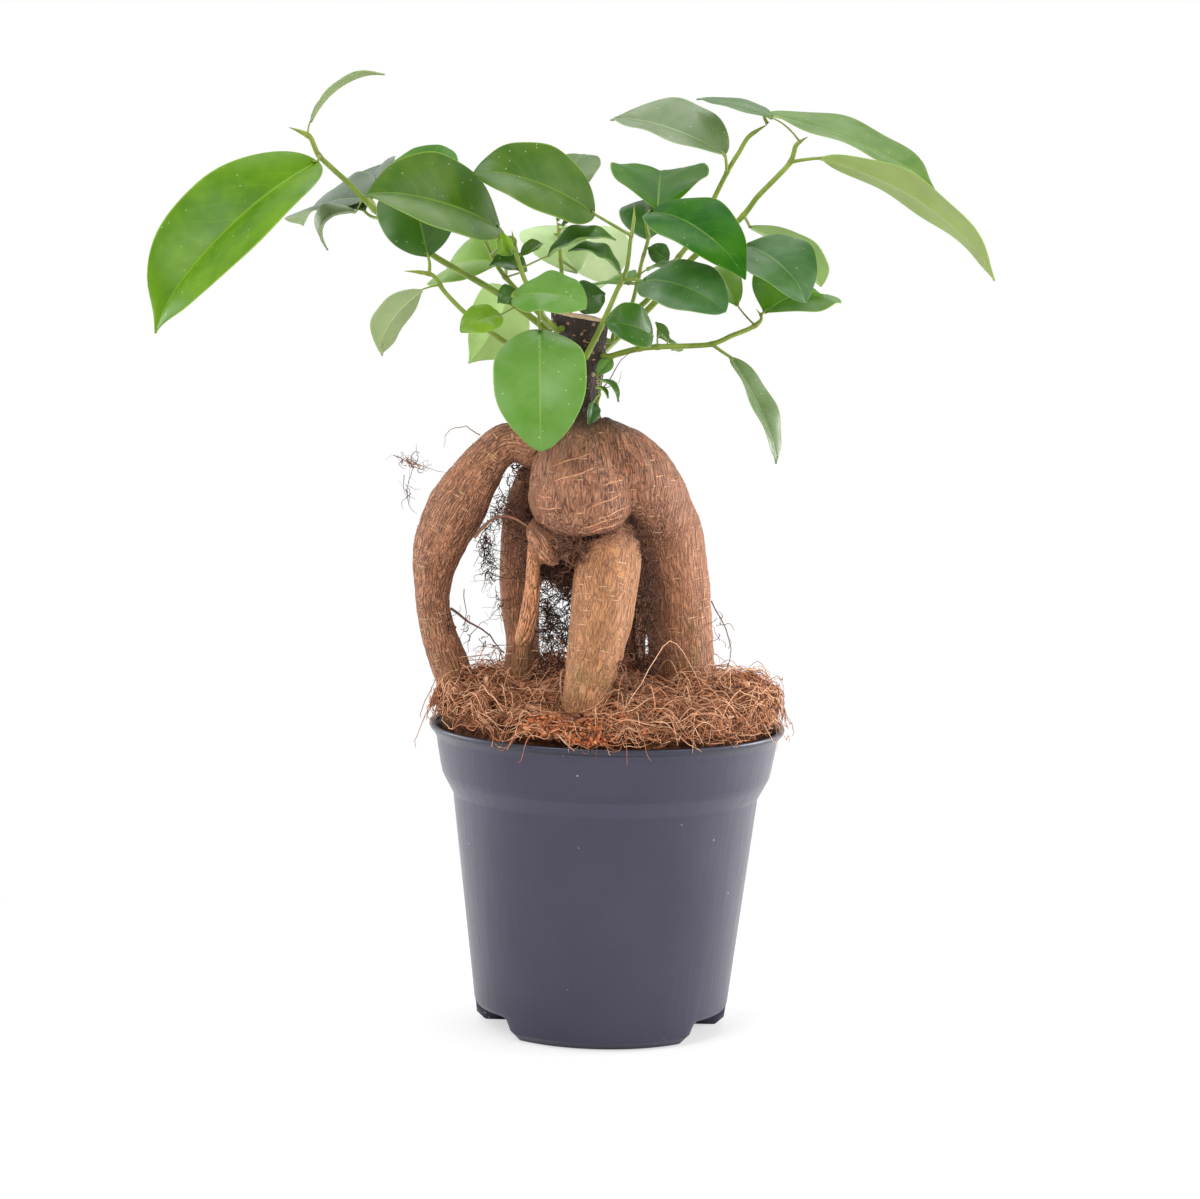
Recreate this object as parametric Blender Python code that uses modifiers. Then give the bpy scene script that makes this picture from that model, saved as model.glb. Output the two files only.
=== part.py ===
"""Ginseng ficus bonsai, potted in its plastic nursery pot.

Metres, +Z up. The origin is the centre of the pot's underside, where the plant stands. -Y is the
front, the side that shows the front root and the broken root stub. Every table below is in
millimetres and is turned into metres by metres().
"""

import math

import bmesh
import bpy
from mathutils import Matrix, Vector, noise
from mathutils.bvhtree import BVHTree

MM = 0.001

# Pot: a 12 cm nursery pot.
LIP_RADIUS = 60.0
POT_HEIGHT = 103.2
LIP_DROP = 3.8
COLLAR_RADIUS = 57.3
COLLAR_FOOT_RADIUS = 54.3
COLLAR_FOOT_HEIGHT = 84.2
STEP_RADIUS = 51.9
STEP_HEIGHT = 78.4
CREASE = 0.4
FLAT_RADIUS = 39.2
BASE_ROUND = 2.6
WALL = 1.2
POT_STEPS = 48

# Drain pockets in the pot's foot: raised places in its rim, with a slot in each ceiling.
POCKET_HEIGHT = 6.8
POCKET_INNER_RADIUS = 30.0
POCKET_HALF_ANGLE = 21.0
POCKET_ANGLES = (-22.0, 90.0, 202.0)
POCKET_STEPS = 9
POCKET_REACH = 4.0
SLOT_SIZE = (3.2, 9.0)
SLOT_RADIUS = 36.0

# Fits.
SEAT_GAP = 0.3
SHOOT_GAP = 0.45

# Coir: outline above the pot's lip as (radius, height above the lip).
MOUND = (
    (56.4, 0.9), (58.6, 2.4), (59.3, 5.6), (57.6, 9.2), (52.0, 11.6), (40.0, 12.8), (22.0, 13.6),
    (0.0, 13.8),
)
MOUND_FRONT_DROP = 0.5
MOUND_STEPS = 40
LUMP_SIZE = 12.0
LUMP_HEIGHT = 1.4

# Trunk and roots: centrelines as (x, y, z, radius).
ROOTS = {
    "neck": (
        (-12, 0, 246, 9.9), (-12, 0, 239, 9.8), (-11.5, 0, 230, 8.2), (-11, -1, 220, 7),
        (-11, -1, 211, 6), (-11, -2, 204, 8), (-10, -4, 197, 12),
    ),
    "caudex": (
        (-10, -3, 201, 9), (-9, -6, 194, 13.5), (-10, -8, 186, 16.6), (-11, -9, 177, 15.5),
        (-12, -8, 170, 10),
    ),
    "left": (
        (-20, -5, 193, 8), (-33, -5, 198, 6.6), (-40, -5, 194, 7), (-46, -4, 186, 8.4),
        (-51, -3, 177, 9.8), (-56, -1, 167, 9.5), (-59, 0, 157, 7.7), (-60, 2, 145, 6),
        (-58, 3, 134, 6), (-55, 4, 125, 6.4), (-51, 4, 115, 6.6), (-47, 4, 104, 5.6),
        (-44, 4, 94, 4),
    ),
    "right": (
        (-5, -4, 190, 11), (4, -3, 184, 12), (13, -1, 177, 12.5), (18.5, 1, 168, 12.2),
        (21, 3, 158, 11.7), (22.5, 5, 147, 11.3), (24, 7, 133, 11.1), (25, 8, 118, 11),
        (25, 8, 106, 9.5), (24, 8, 94, 7),
    ),
    "front": (
        (-5, -12, 178, 10), (0, -20, 170, 10.2), (-1, -26, 160, 10.3), (-2, -29, 149, 10.6),
        (-3, -31, 139, 9.8), (-5, -33, 129, 8.8), (-7, -35, 119, 7.7), (-8, -37, 110, 7),
        (-9, -37, 101, 5.8), (-9, -36, 92, 4.2),
    ),
    "second": (
        (-20, 0, 181, 7), (-29, 4, 172, 5.8), (-33, 5, 159, 4.6), (-32, 5, 144, 5), (-30, 4, 130, 4.9),
        (-31, 2, 115, 4.6), (-31, 2, 102, 3.6),
    ),
    "rear": (
        (-4, 4, 184, 11), (3, 16, 168, 9), (6, 24, 152, 8), (5, 28, 132, 7.8), (4, 30, 116, 8),
        (4, 30, 102, 6.4),
    ),
    "rear_left": (
        (-14, 2, 182, 9), (-24, 16, 166, 6.6), (-29, 25, 148, 5.8), (-30, 28, 130, 5.8),
        (-28, 29, 116, 6), (-26, 28, 102, 4.6),
    ),
    "rear_right": (
        (8, 3, 178, 9), (18, 20, 162, 6.4), (24, 30, 142, 5.6), (24, 33, 116, 6),
        (23, 32, 102, 4.6),
    ),
    "thin": (
        (0, 8, 170, 5), (6, 14, 150, 3), (8, 17, 132, 2.4), (10, 15, 116, 2.4),
        (10, 14, 106, 2.2),
    ),
    "stub": (
        (-17, -13, 174, 4.6), (-21, -17, 168, 4.2), (-23, -19, 161, 3.4), (-26, -20, 150, 2.9),
        (-28, -19, 141, 2.5), (-29, -18, 134, 2),
    ),
    "knot": (
        (-15, -14, 172, 3.6), (-20, -18, 170, 3.9), (-22, -18, 164, 3.2),
    ),
}
ROOT_VOXEL = 1.5
ROOT_SMOOTHING = 5
ROOT_FACES = 3800
NECK_CUT_HEIGHT = 240.0
NECK_CUT_TILT = (14.0, 6.0)

# Shoots: centreline points (x, y, z), then the radius at the neck and before the bud.
SHOOTS = {
    "upper_left": (
        ((-22, 2, 236), (-38, -2, 246), (-54, -4, 255), (-61, -5, 259), (-72, -7, 267), (-80, -8, 273),
         (-89, -10, 282), (-99, -12, 291), (-102, -13, 297), (-109, -14, 300)),
        1.6, 1.1,
    ),
    "lower_left": (
        ((-18, -8, 228), (-27, -11, 228), (-36, -13, 231), (-49, -16, 240), (-57, -18, 248),
         (-61, -18, 253), (-70, -20, 254)),
        1.3, 0.9,
    ),
    "crown_left": (
        ((-19, -4, 237), (-29, -5, 244), (-35, -3, 250), (-40, -1, 256), (-45, 3, 265), (-52, 7, 272),
         (-58, 9, 276)),
        1.2, 0.9,
    ),
    "front": (
        ((-15, -9, 235), (-23, -14, 240), (-26, -15, 245), (-30, -15, 251), (-33, -15, 259),
         (-35, -16, 268)),
        1.3, 1.0,
    ),
    "middle": (
        ((-15, 8, 236), (-18, 12, 247), (-19, 14, 256), (-20, 15, 267), (-21, 16, 272)),
        1.2, 0.8,
    ),
    "centre": (
        ((-10, -9, 227), (-5, -9, 237), (0, -7, 249), (3, -5, 256), (4, -3, 265), (5, -2, 272),
         (5, -2, 278)),
        1.5, 1.0,
    ),
    "inner_right": (
        ((-3, 1, 232), (0, 3, 236), (5, 6, 244), (8, 9, 258), (10, 9, 266), (10, 9, 272)),
        1.1, 0.8,
    ),
    "lower_right": (
        ((-3, -4, 227), (8, -8, 230), (18, -10, 231), (31, -12, 232), (38, -12, 235), (45, -11, 238),
         (48, -10, 241), (46, -10, 244)),
        1.4, 1.0,
    ),
    "rear_right": (
        ((-8, 9, 235), (1, 18, 239), (10, 20, 245), (19, 19, 258), (27, 18, 269), (31, 16, 278),
         (36, 12, 289), (40, 10, 296), (43, 9, 301), (49, 7, 305)),
        1.4, 1.0,
    ),
    "upper_right": (
        ((-4, 8, 228), (2, 13, 234), (13, 12, 245), (25, 6, 260), (40, 2, 273), (46, -1, 281),
         (56, -4, 292), (58, -5, 298), (62, -6, 301)),
        1.6, 1.1,
    ),
    "neck_side": (
        ((-7, -6, 211), (-5, -9, 215), (-5, -10, 220)),
        0.9, 0.6,
    ),
}
SHOOT_SPANS = 2

# Leaves: shoot, place on the shoot's points, blade base, blade tip, width, direction that the upper
# face looks in, height of the blade's arch, and the angle that each half is folded up by.
LEAVES = {
    "left_end": ("upper_left", 7.0, (-101, -17, 288), (-151, -38, 235), 37, (-0.15, -0.75, 0.6), 7, 33),
    "left_top": ("upper_left", 8.1, (-102, -12, 302), (-79, -4, 319), 11, (-0.6, 0, 0.75), 4, 18),
    "left_mid": ("upper_left", 5.1, (-84, 0, 277), (-112, 36, 271), 27, (0, -0.62, 0.78), 3, 12),
    "left_mid_rear": ("upper_left", 4.7, (-80, 3, 278), (-79, 34, 292), 18, (-0.5, -0.6, 0.5), 2, 12),
    "left_droop": ("upper_left", 5.5, (-87, -5, 273), (-98, -2, 261), 12, (-0.3, -0.5, 0.8), 6, 25),
    "left_back": ("crown_left", 6.0, (-66, 16, 276), (-64, 40, 296), 19, (-0.3, -0.9, 0.3), 2, 10),
    "left_front": ("crown_left", 3.4, (-39, -14, 266), (-80, -42, 280), 39, (0, -0.8, 0.6), 4, 18),
    "left_low": ("lower_left", 5.1, (-62, -22, 259), (-69, -12, 287), 27, (-0.1, -1, 0.1), 2, 12),
    "crown_front": ("centre", 4.3, (-8, -13, 274), (-46, -29, 288), 29, (-0.05, -0.78, 0.62), 4, 14),
    "crown_back": ("middle", 3.9, (-18, 21, 280), (-14, 48, 294), 19, (-0.1, -0.8, 0.6), 2, 10),
    "right_saddle": ("inner_right", 4.7, (13, 14, 276), (14, 47, 289), 36, (0, -0.4, 0.92), 1, 24),
    "right_front": ("inner_right", 4.2, (10, 1, 275), (40, -34, 255), 30, (0.12, -0.8, 0.6), 6, 12),
    "right_high": ("rear_right", 6.0, (34, 7, 294), (-2, 26, 307), 27, (0.1, -0.42, 0.9), 3, 8),
    "top_right": ("upper_right", 7.3, (51, -1, 308), (29, 22, 313), 16, (0.15, -0.1, 0.98), 1.5, 2),
    "far_right_upper": ("rear_right", 9.0, (53, 6, 307), (105, -10, 286), 27, (0.33, -0.24, 0.92), 3, 8),
    "far_right_lower": ("upper_right", 6.1, (66, -9, 294), (124, -26, 257), 26, (0.45, 0.36, 0.82), 7, 5),
    "right_dark": ("upper_right", 3.9, (41, -6, 266), (63, -25, 248), 25, (0.15, -0.7, 0.7), 4, 16),
    "right_pale": ("upper_right", 4.2, (44, 10, 270), (66, 32, 250), 25, (0.62, 0.55, 0.5), 3, 12),
    "right_bright": ("lower_right", 6.3, (50, -8, 245), (69, 20, 250), 27, (-0.2, -0.8, 0.56), 3, 14),
    "right_behind": ("lower_right", 5.2, (42, -4, 244), (33, 17, 257), 15, (-0.1, -0.85, 0.5), 2, 10),
    "centre_low": ("centre", 2.5, (7, -12, 254), (35, -34, 242), 24, (0.05, -0.8, 0.6), 4, 8),
    "neck_dark": ("lower_right", 1.0, (9, -13, 232), (0, -25, 243), 16, (0.1, -0.85, 0.5), 2, 12),
    "neck_back": ("lower_right", 1.6, (14, -2, 234), (19, 11, 229), 12, (0, -0.8, 0.6), 2, 10),
    "right_hanging": ("lower_right", 3.1, (37, -13, 228), (53, -20, 194), 18, (0.75, -0.42, 0.3), 2, 14),
    "big_front": ("front", 1.6, (-25, -22, 236), (-25, -46, 198), 31, (0, -0.92, 0.38), 5, 8),
    "front_right": ("front", 2.9, (-33, -21, 248), (-11, -34, 248), 26, (0, -0.8, 0.6), 7, 4),
    "front_curled": ("front", 2.4, (-38, -18, 242), (-50, -36, 237), 15, (0, -0.8, 0.6), 2, -20),
    "left_pale_low": ("crown_left", 1.6, (-36, 5, 247), (-49, 28, 223), 27, (0.55, 0.7, 0.45), 4, 12),
    "left_hanging": ("lower_left", 4.3, (-64, -21, 248), (-76, -38, 227), 18, (-0.75, 0.5, -0.2), 5, 10),
    "left_rear": ("crown_left", 2.5, (-40, 5, 257), (-61, 34, 260), 28, (0, -0.6, 0.8), 3, 10),
    "rear_pale_left": ("middle", 2.2, (-23, 21, 260), (-36, 50, 264), 25, (0.1, 0.8, 0.55), 3, 10),
    "rear_pale_right": ("middle", 3.2, (-15, 24, 269), (-2, 56, 251), 31, (0.1, 0.82, 0.52), 4, 10),
    "middle_curled": ("front", 3.6, (-22, -13, 262), (-2, -18, 266), 13, (0.1, -0.3, 0.93), 3, 30),
    "centre_curled": ("centre", 2.3, (1, -11, 258), (-15, -14, 265), 12, (0.2, -0.3, 0.93), 3, 24),
    "inner_blue": ("inner_right", 3.3, (8, 15, 266), (5, 36, 280), 22, (-0.1, -0.95, 0.3), 2, 10),
    "middle_dark": ("crown_left", 2.4, (-33, -7, 253), (-45, -11, 253), 12, (0, -0.7, 0.7), 2, 15),
    "neck_right": ("middle", 0.8, (-13, 10, 245), (-5, 10, 252), 15, (0, -0.8, 0.6), 2, 12),
    "inner_small": ("rear_right", 3.2, (17, 15, 261), (9, 14, 266), 11, (0, -0.85, 0.5), 1, 10),
    "inner_narrow": ("inner_right", 2.7, (10, 3, 256), (18, -3, 257), 8, (0, -0.3, 0.95), 1, 8),
    "inner_pale": ("inner_right", 2.5, (4, 11, 251), (-7, 30, 248), 18, (0, -0.5, 0.86), 2, 8),
    "front_young": ("front", 4.2, (-35, -21, 256), (-38, -28, 260), 9, (-0.3, -0.85, 0.4), 1, 30),
    "side_upper": ("neck_side", 1.8, (-4, -13, 221), (1, -18, 215), 6, (0.3, -0.5, 0.8), 2, 15),
    "side_lower": ("neck_side", 0.9, (-5, -14, 214), (-4, -20, 207), 7, (-0.1, -0.9, 0.3), 1, 15),
}
PETIOLE_WIDTH = 1.3
LEAF_THICKNESS = 0.8
LARGE_LEAF_WIDTH = 20.0
BLADE_STATIONS = (0.0, 0.14, 0.34, 0.56, 0.76, 0.91, 1.0)
BLUNTNESS = 0.75
BASE_FULLNESS = 0.92

POT_COLOUR = (0.095, 0.093, 0.125, 1.0)
COIR_COLOUR = (0.36, 0.14, 0.055, 1.0)
BARK_COLOUR = (0.24, 0.125, 0.065, 1.0)
SHOOT_COLOUR = (0.20, 0.33, 0.06, 1.0)
LEAF_COLOUR = (0.07, 0.24, 0.035, 1.0)
PALE_LEAF_COLOUR = (0.24, 0.42, 0.12, 1.0)


def metres(point):
    """The first three numbers of a millimetre point as a vector in metres."""
    return Vector(point[:3]) * MM


def clear_scene():
    for obj in list(bpy.data.objects):
        bpy.data.objects.remove(obj, do_unlink=True)


def new_collection(name):
    collection = bpy.data.collections.new(name)
    bpy.context.scene.collection.children.link(collection)
    return collection


def new_material(name, colour, roughness):
    material = bpy.data.materials.new(name)
    material.use_nodes = True
    shader = material.node_tree.nodes["Principled BSDF"]
    shader.inputs["Base Color"].default_value = colour
    shader.inputs["Roughness"].default_value = roughness
    material.diffuse_color = colour
    return material


def add_object(name, data, collection, material=None):
    obj = bpy.data.objects.new(name, data)
    collection.objects.link(obj)
    if material:
        data.materials.append(material)
    return obj


def mesh_from_bmesh(name, bm):
    bmesh.ops.recalc_face_normals(bm, faces=bm.faces)
    mesh = bpy.data.meshes.new(name)
    bm.to_mesh(mesh)
    bm.free()
    return mesh


def evaluated_mesh(obj, name, weld=0.0):
    """A new mesh of the object as its modifiers leave it, in world space."""
    graph = bpy.context.evaluated_depsgraph_get()
    mesh = bpy.data.meshes.new_from_object(obj.evaluated_get(graph))
    mesh.name = name
    mesh.transform(obj.matrix_world)
    if weld:
        bm = bmesh.new()
        bm.from_mesh(mesh)
        bmesh.ops.remove_doubles(bm, verts=bm.verts, dist=weld)
        bmesh.ops.recalc_face_normals(bm, faces=bm.faces)
        bm.to_mesh(mesh)
        bm.free()
    return mesh


def apply_modifiers(obj, weld=0.0):
    """Replaces the object's mesh with the one that its modifiers make."""
    obj.data = evaluated_mesh(obj, obj.data.name, weld)
    obj.modifiers.clear()


def profile_mesh(name, points):
    """An open outline of (radius, height) points in millimetres, in the XZ plane."""
    bm = bmesh.new()
    verts = [bm.verts.new((r * MM, 0.0, z * MM)) for r, z in points]
    for first, second in zip(verts, verts[1:]):
        bm.edges.new((first, second))
    mesh = bpy.data.meshes.new(name)
    bm.to_mesh(mesh)
    bm.free()
    return mesh


def add_screw(obj, steps):
    screw = obj.modifiers.new("Screw", "SCREW")
    screw.steps = steps
    screw.render_steps = steps
    screw.use_merge_vertices = True
    screw.merge_threshold = 0.00001
    return screw


def add_boolean(obj, other, operation):
    boolean = obj.modifiers.new(operation.title(), "BOOLEAN")
    boolean.operation = operation
    boolean.object = other
    boolean.solver = "EXACT"
    return boolean


def as_cutter(obj):
    obj.hide_render = True
    obj.display_type = "WIRE"
    return obj


# Pot


def wall_radius(height):
    """Outer radius of the pot between its foot and its lip, at a height in millimetres."""
    stations = (
        (0.0, FLAT_RADIUS),
        (BASE_ROUND, FLAT_RADIUS + BASE_ROUND),
        (STEP_HEIGHT, STEP_RADIUS),
        (COLLAR_FOOT_HEIGHT, COLLAR_FOOT_RADIUS),
        (POT_HEIGHT - LIP_DROP, COLLAR_RADIUS),
    )
    for (low, low_radius), (high, high_radius) in zip(stations, stations[1:]):
        if height <= high:
            share = (height - low) / (high - low)
            return low_radius + share * (high_radius - low_radius)
    return COLLAR_RADIUS


def pot_outline():
    """The pot's outer side as (radius, height), from the lip's top down to the middle of the base."""
    lip = [
        (LIP_RADIUS - 1.4, POT_HEIGHT),
        (LIP_RADIUS, POT_HEIGHT - 0.9),
        (LIP_RADIUS - 0.9, POT_HEIGHT - 2.2),
        (COLLAR_RADIUS, POT_HEIGHT - LIP_DROP),
    ]
    wall = [
        (COLLAR_FOOT_RADIUS, COLLAR_FOOT_HEIGHT + 2 * CREASE),
        (COLLAR_FOOT_RADIUS - CREASE, COLLAR_FOOT_HEIGHT - CREASE),
        (STEP_RADIUS + CREASE, STEP_HEIGHT + CREASE),
        (STEP_RADIUS, STEP_HEIGHT - 2 * CREASE),
    ]
    corner = [
        (FLAT_RADIUS + BASE_ROUND * math.cos(angle), BASE_ROUND * (1.0 - math.sin(angle)))
        for angle in (0.0, math.pi / 6, math.pi / 3, math.pi / 2)
    ]
    return lip + wall + corner + [(0.0, 0.0)]


def ring_sector(name, inner, outer, low, high, half_angle, collection):
    """A block bounded by two radii, two heights and an angle to each side of +X."""
    bm = bmesh.new()
    corners = ((inner, low), (outer, low), (outer, high), (inner, high))
    start = Matrix.Rotation(math.radians(-half_angle), 4, "Z")
    verts = [bm.verts.new(start @ Vector((r * MM, 0.0, z * MM))) for r, z in corners]
    face = bm.faces.new(verts)
    geometry = [face] + list(face.edges) + verts
    bmesh.ops.spin(
        bm,
        geom=geometry,
        axis=(0, 0, 1),
        cent=(0, 0, 0),
        angle=math.radians(2 * half_angle),
        steps=POCKET_STEPS,
        use_duplicate=False,
    )
    return add_object(name, mesh_from_bmesh(name, bm), collection)


def pocket_slot(name, cutters):
    """The block that cuts a slot through a pocket's ceiling, on +X."""
    bm = bmesh.new()
    bmesh.ops.create_cube(bm, size=1.0)
    bmesh.ops.scale(bm, vec=Vector((*SLOT_SIZE, 3 * WALL)) * MM, verts=bm.verts)
    offset = Vector((SLOT_RADIUS, 0.0, POCKET_HEIGHT + 0.5 * WALL)) * MM
    bmesh.ops.translate(bm, vec=offset, verts=bm.verts)
    return add_object(name, mesh_from_bmesh(name, bm), cutters)


def pocket_pieces(cutters):
    """Each drain pocket's housing in the pot, its hollow, its slot, and the room that coir leaves."""
    pieces = {"housing": [], "hollow": [], "slot": [], "room": []}
    inner, below = POCKET_INNER_RADIUS, -POCKET_REACH
    inside = wall_radius(POCKET_HEIGHT) - 0.5 * WALL
    outside = wall_radius(POCKET_HEIGHT) + POCKET_REACH
    end = math.degrees(WALL / inner)
    blocks = {
        "housing": (inner - WALL, inside, 0.3 * WALL, POCKET_HEIGHT + WALL, POCKET_HALF_ANGLE + end),
        "hollow": (inner, outside, below, POCKET_HEIGHT, POCKET_HALF_ANGLE),
        "room": (
            inner - WALL - SEAT_GAP, outside, below, POCKET_HEIGHT + WALL + SEAT_GAP,
            POCKET_HALF_ANGLE + 1.4 * end,
        ),
    }
    for number, angle in enumerate(POCKET_ANGLES):
        turn = Matrix.Rotation(math.radians(angle), 4, "Z")
        made = {
            kind: ring_sector(f"pocket_{kind}_{number}", *block, cutters) for kind, block in blocks.items()
        }
        made["slot"] = pocket_slot(f"pocket_slot_{number}", cutters)
        for kind, obj in made.items():
            obj.data.transform(turn)
            pieces[kind].append(as_cutter(obj))
    return pieces


def build_pot(collection, material, pockets):
    pot = add_object("pot", profile_mesh("pot", pot_outline()), collection, material)
    add_screw(pot, POT_STEPS)
    shell = pot.modifiers.new("Wall", "SOLIDIFY")
    shell.thickness = WALL * MM
    shell.offset = -1.0
    apply_modifiers(pot)
    for housing in pockets["housing"]:
        add_boolean(pot, housing, "UNION")
    for cutter in pockets["hollow"] + pockets["slot"]:
        add_boolean(pot, cutter, "DIFFERENCE")
    apply_modifiers(pot)
    pot.data.shade_smooth()
    pot.data.set_sharp_from_angle(angle=math.radians(35))
    return pot


# Trunk and roots


def spline_points(points, per_span):
    """Points of a Catmull-Rom curve through the given points, each a tuple of any length."""
    vectors = [tuple(map(float, p)) for p in points]
    padded = [vectors[0]] + vectors + [vectors[-1]]
    result = []
    for index in range(len(vectors) - 1):
        a, b, c, d = padded[index : index + 4]
        for step in range(per_span):
            t = step / per_span
            result.append(tuple(catmull_rom(*values, t) for values in zip(a, b, c, d)))
    return result + [vectors[-1]]


def catmull_rom(a, b, c, d, t):
    square = 2 * a - 5 * b + 4 * c - d
    cube = 3 * b - a - 3 * c + d
    return 0.5 * (2 * b + (c - a) * t + square * t**2 + cube * t**3)


def tube_curve(name, points, collection, bevel_resolution):
    """A tapered round tube through (x, y, z, radius) points in millimetres."""
    curve = bpy.data.curves.new(name, "CURVE")
    curve.dimensions = "3D"
    curve.bevel_depth = MM
    curve.bevel_resolution = bevel_resolution
    curve.use_fill_caps = True
    curve.twist_mode = "MINIMUM"
    spline = curve.splines.new("POLY")
    spline.points.add(len(points) - 1)
    for target, point in zip(spline.points, points):
        target.co = (*metres(point), 1.0)
        target.radius = point[3]
    return add_object(name, curve, collection)


def tube_mesh(name, points, collection, bevel_resolution=4):
    """The same tube as a closed mesh, for Booleans and remeshing."""
    curve = tube_curve(name + "_curve", points, collection, bevel_resolution)
    bpy.context.view_layer.update()
    mesh = evaluated_mesh(curve, name, weld=0.00001)
    bpy.data.objects.remove(curve, do_unlink=True)
    return mesh


def build_trunk(collection, cutters, material):
    bm = bmesh.new()
    for name, points in ROOTS.items():
        mesh = tube_mesh(name, spline_points(points, 4), cutters)
        bm.from_mesh(mesh)
        bpy.data.meshes.remove(mesh)
    mesh = bpy.data.meshes.new("trunk_and_roots")
    bm.to_mesh(mesh)
    bm.free()
    trunk = add_object("trunk_and_roots", mesh, collection, material)
    remesh = trunk.modifiers.new("Union", "REMESH")
    remesh.mode = "VOXEL"
    remesh.voxel_size = ROOT_VOXEL * MM
    smooth = trunk.modifiers.new("Smooth", "SMOOTH")
    smooth.factor = 0.5
    smooth.iterations = ROOT_SMOOTHING
    apply_modifiers(trunk)
    reduce = trunk.modifiers.new("Reduce", "DECIMATE")
    reduce.ratio = ROOT_FACES / max(ROOT_FACES, 2 * len(trunk.data.polygons))
    apply_modifiers(trunk)
    add_boolean(trunk, neck_cutter(cutters), "DIFFERENCE")
    apply_modifiers(trunk)
    trunk.data.shade_smooth()
    trunk.data.set_sharp_from_angle(angle=math.radians(50))
    return trunk


def neck_cutter(cutters):
    """The slab of space above the slanting cut on top of the neck."""
    bm = bmesh.new()
    bmesh.ops.create_cube(bm, size=0.06)
    bmesh.ops.translate(bm, vec=(0, 0, 0.03), verts=bm.verts)
    slab = add_object("neck_cutter", mesh_from_bmesh("neck_cutter", bm), cutters)
    tilt = Matrix.Rotation(math.radians(NECK_CUT_TILT[0]), 4, "X") @ Matrix.Rotation(
        math.radians(NECK_CUT_TILT[1]), 4, "Y"
    )
    slab.data.transform(Matrix.Translation(Vector((-12, 0, NECK_CUT_HEIGHT)) * MM) @ tilt)
    return as_cutter(slab)


# Coir


def coir_outline():
    """Coir's outline from its middle on the pot's floor, up the inside of the wall and over the mound."""
    floor = WALL + SEAT_GAP
    levels = (6.0, 30.0, 55.0, STEP_HEIGHT - 2.0, COLLAR_FOOT_HEIGHT - 1.0, POT_HEIGHT - LIP_DROP)
    inside = [(wall_radius(z) - WALL - 2 * SEAT_GAP, z) for z in levels]
    above = [(r, POT_HEIGHT + z) for r, z in MOUND]
    return list(reversed([(0.0, floor), (FLAT_RADIUS - WALL - BASE_ROUND, floor)] + inside + above))


def build_coir(collection, cutters, material, trunk, pockets):
    profile = profile_mesh("coir_substrate", coir_outline())
    coir = add_object("coir_substrate", profile, collection, material)
    add_screw(coir, MOUND_STEPS)
    apply_modifiers(coir)
    base = (POT_HEIGHT + SEAT_GAP) * MM
    for vert in coir.data.vertices:
        if vert.co.z > base:
            front = max(0.0, -vert.co.y / (LIP_RADIUS * MM))
            lump = abs(noise.noise(vert.co / (LUMP_SIZE * MM))) * LUMP_HEIGHT * MM
            vert.co.z = base + (vert.co.z - base) * (1.0 - MOUND_FRONT_DROP * front) + lump
    cutter = add_object("root_room", trunk.data.copy(), cutters)
    grow = cutter.modifiers.new("Room", "DISPLACE")
    grow.strength = 2 * SEAT_GAP * MM
    grow.mid_level = 0.0
    apply_modifiers(cutter)
    add_boolean(coir, as_cutter(cutter), "DIFFERENCE")
    for room in pockets["room"]:
        add_boolean(coir, room, "DIFFERENCE")
    apply_modifiers(coir)
    coir.data.shade_smooth()
    return coir


# Shoots


def shoot_path(name, tree):
    """A shoot's (x, y, z, radius) points in millimetres, from its seat on the neck to its bud's tip."""
    points, first_radius, last_radius = SHOOTS[name]
    place, normal, _, _ = tree.find_nearest(metres(points[0]))
    seat = place + normal * SHOOT_GAP * MM
    root = place + normal * (SHOOT_GAP + 1.6 * first_radius) * MM
    centres = [tuple(seat / MM), tuple(root / MM)] + [tuple(p) for p in points[1:]]
    last = len(centres) - 1
    with_radius = []
    for index, centre in enumerate(centres):
        radius = first_radius + (last_radius - first_radius) * index / last
        with_radius.append((*centre, 0.25 if index == last else radius))
    return with_radius


def place_on(path, place):
    """Centre, radius and direction of a shoot at a place counted in its table points."""
    station = 1 + place * SHOOT_SPANS
    index = min(int(station), len(path) - 2)
    share = station - index
    a, b = path[index], path[index + 1]
    centre = Vector(a[:3]).lerp(Vector(b[:3]), share)
    return centre, a[3] + (b[3] - a[3]) * share, (Vector(b[:3]) - Vector(a[:3])).normalized()


def build_shoots(collection, material, tree):
    """Makes the shoots and returns each one's centreline."""
    paths = {}
    for name in SHOOTS:
        seat, *rest = shoot_path(name, tree)
        paths[name] = [seat] + spline_points(rest, SHOOT_SPANS)
        shoot = tube_curve(f"shoot_{name}", paths[name], collection, 1)
        shoot.data.materials.append(material)
    return paths


# Leaves


def blade_share(u):
    """Half width of a blade at u, from 0 at its base to 1 at its tip, as a share of the widest."""
    return math.sin(math.pi * u**BASE_FULLNESS) ** BLUNTNESS


def leaf_frame(base, tip, face):
    """Unit vectors along a blade, across it and out of its upper face."""
    along = (tip - base).normalized()
    up = Vector(face)
    up = (up - along * up.dot(along)).normalized()
    return along, along.cross(up), up


def petiole_seat(path, place, base):
    """Where a petiole meets its shoot, on the side that faces the blade's base, and the way out."""
    centre, radius, direction = place_on(path, place)
    out = base - centre
    sideways = out - direction * out.dot(direction)
    if sideways.length > 0.4 * out.length:
        out = sideways
    out.normalize()
    return centre + out * (radius + SHOOT_GAP), out


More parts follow.
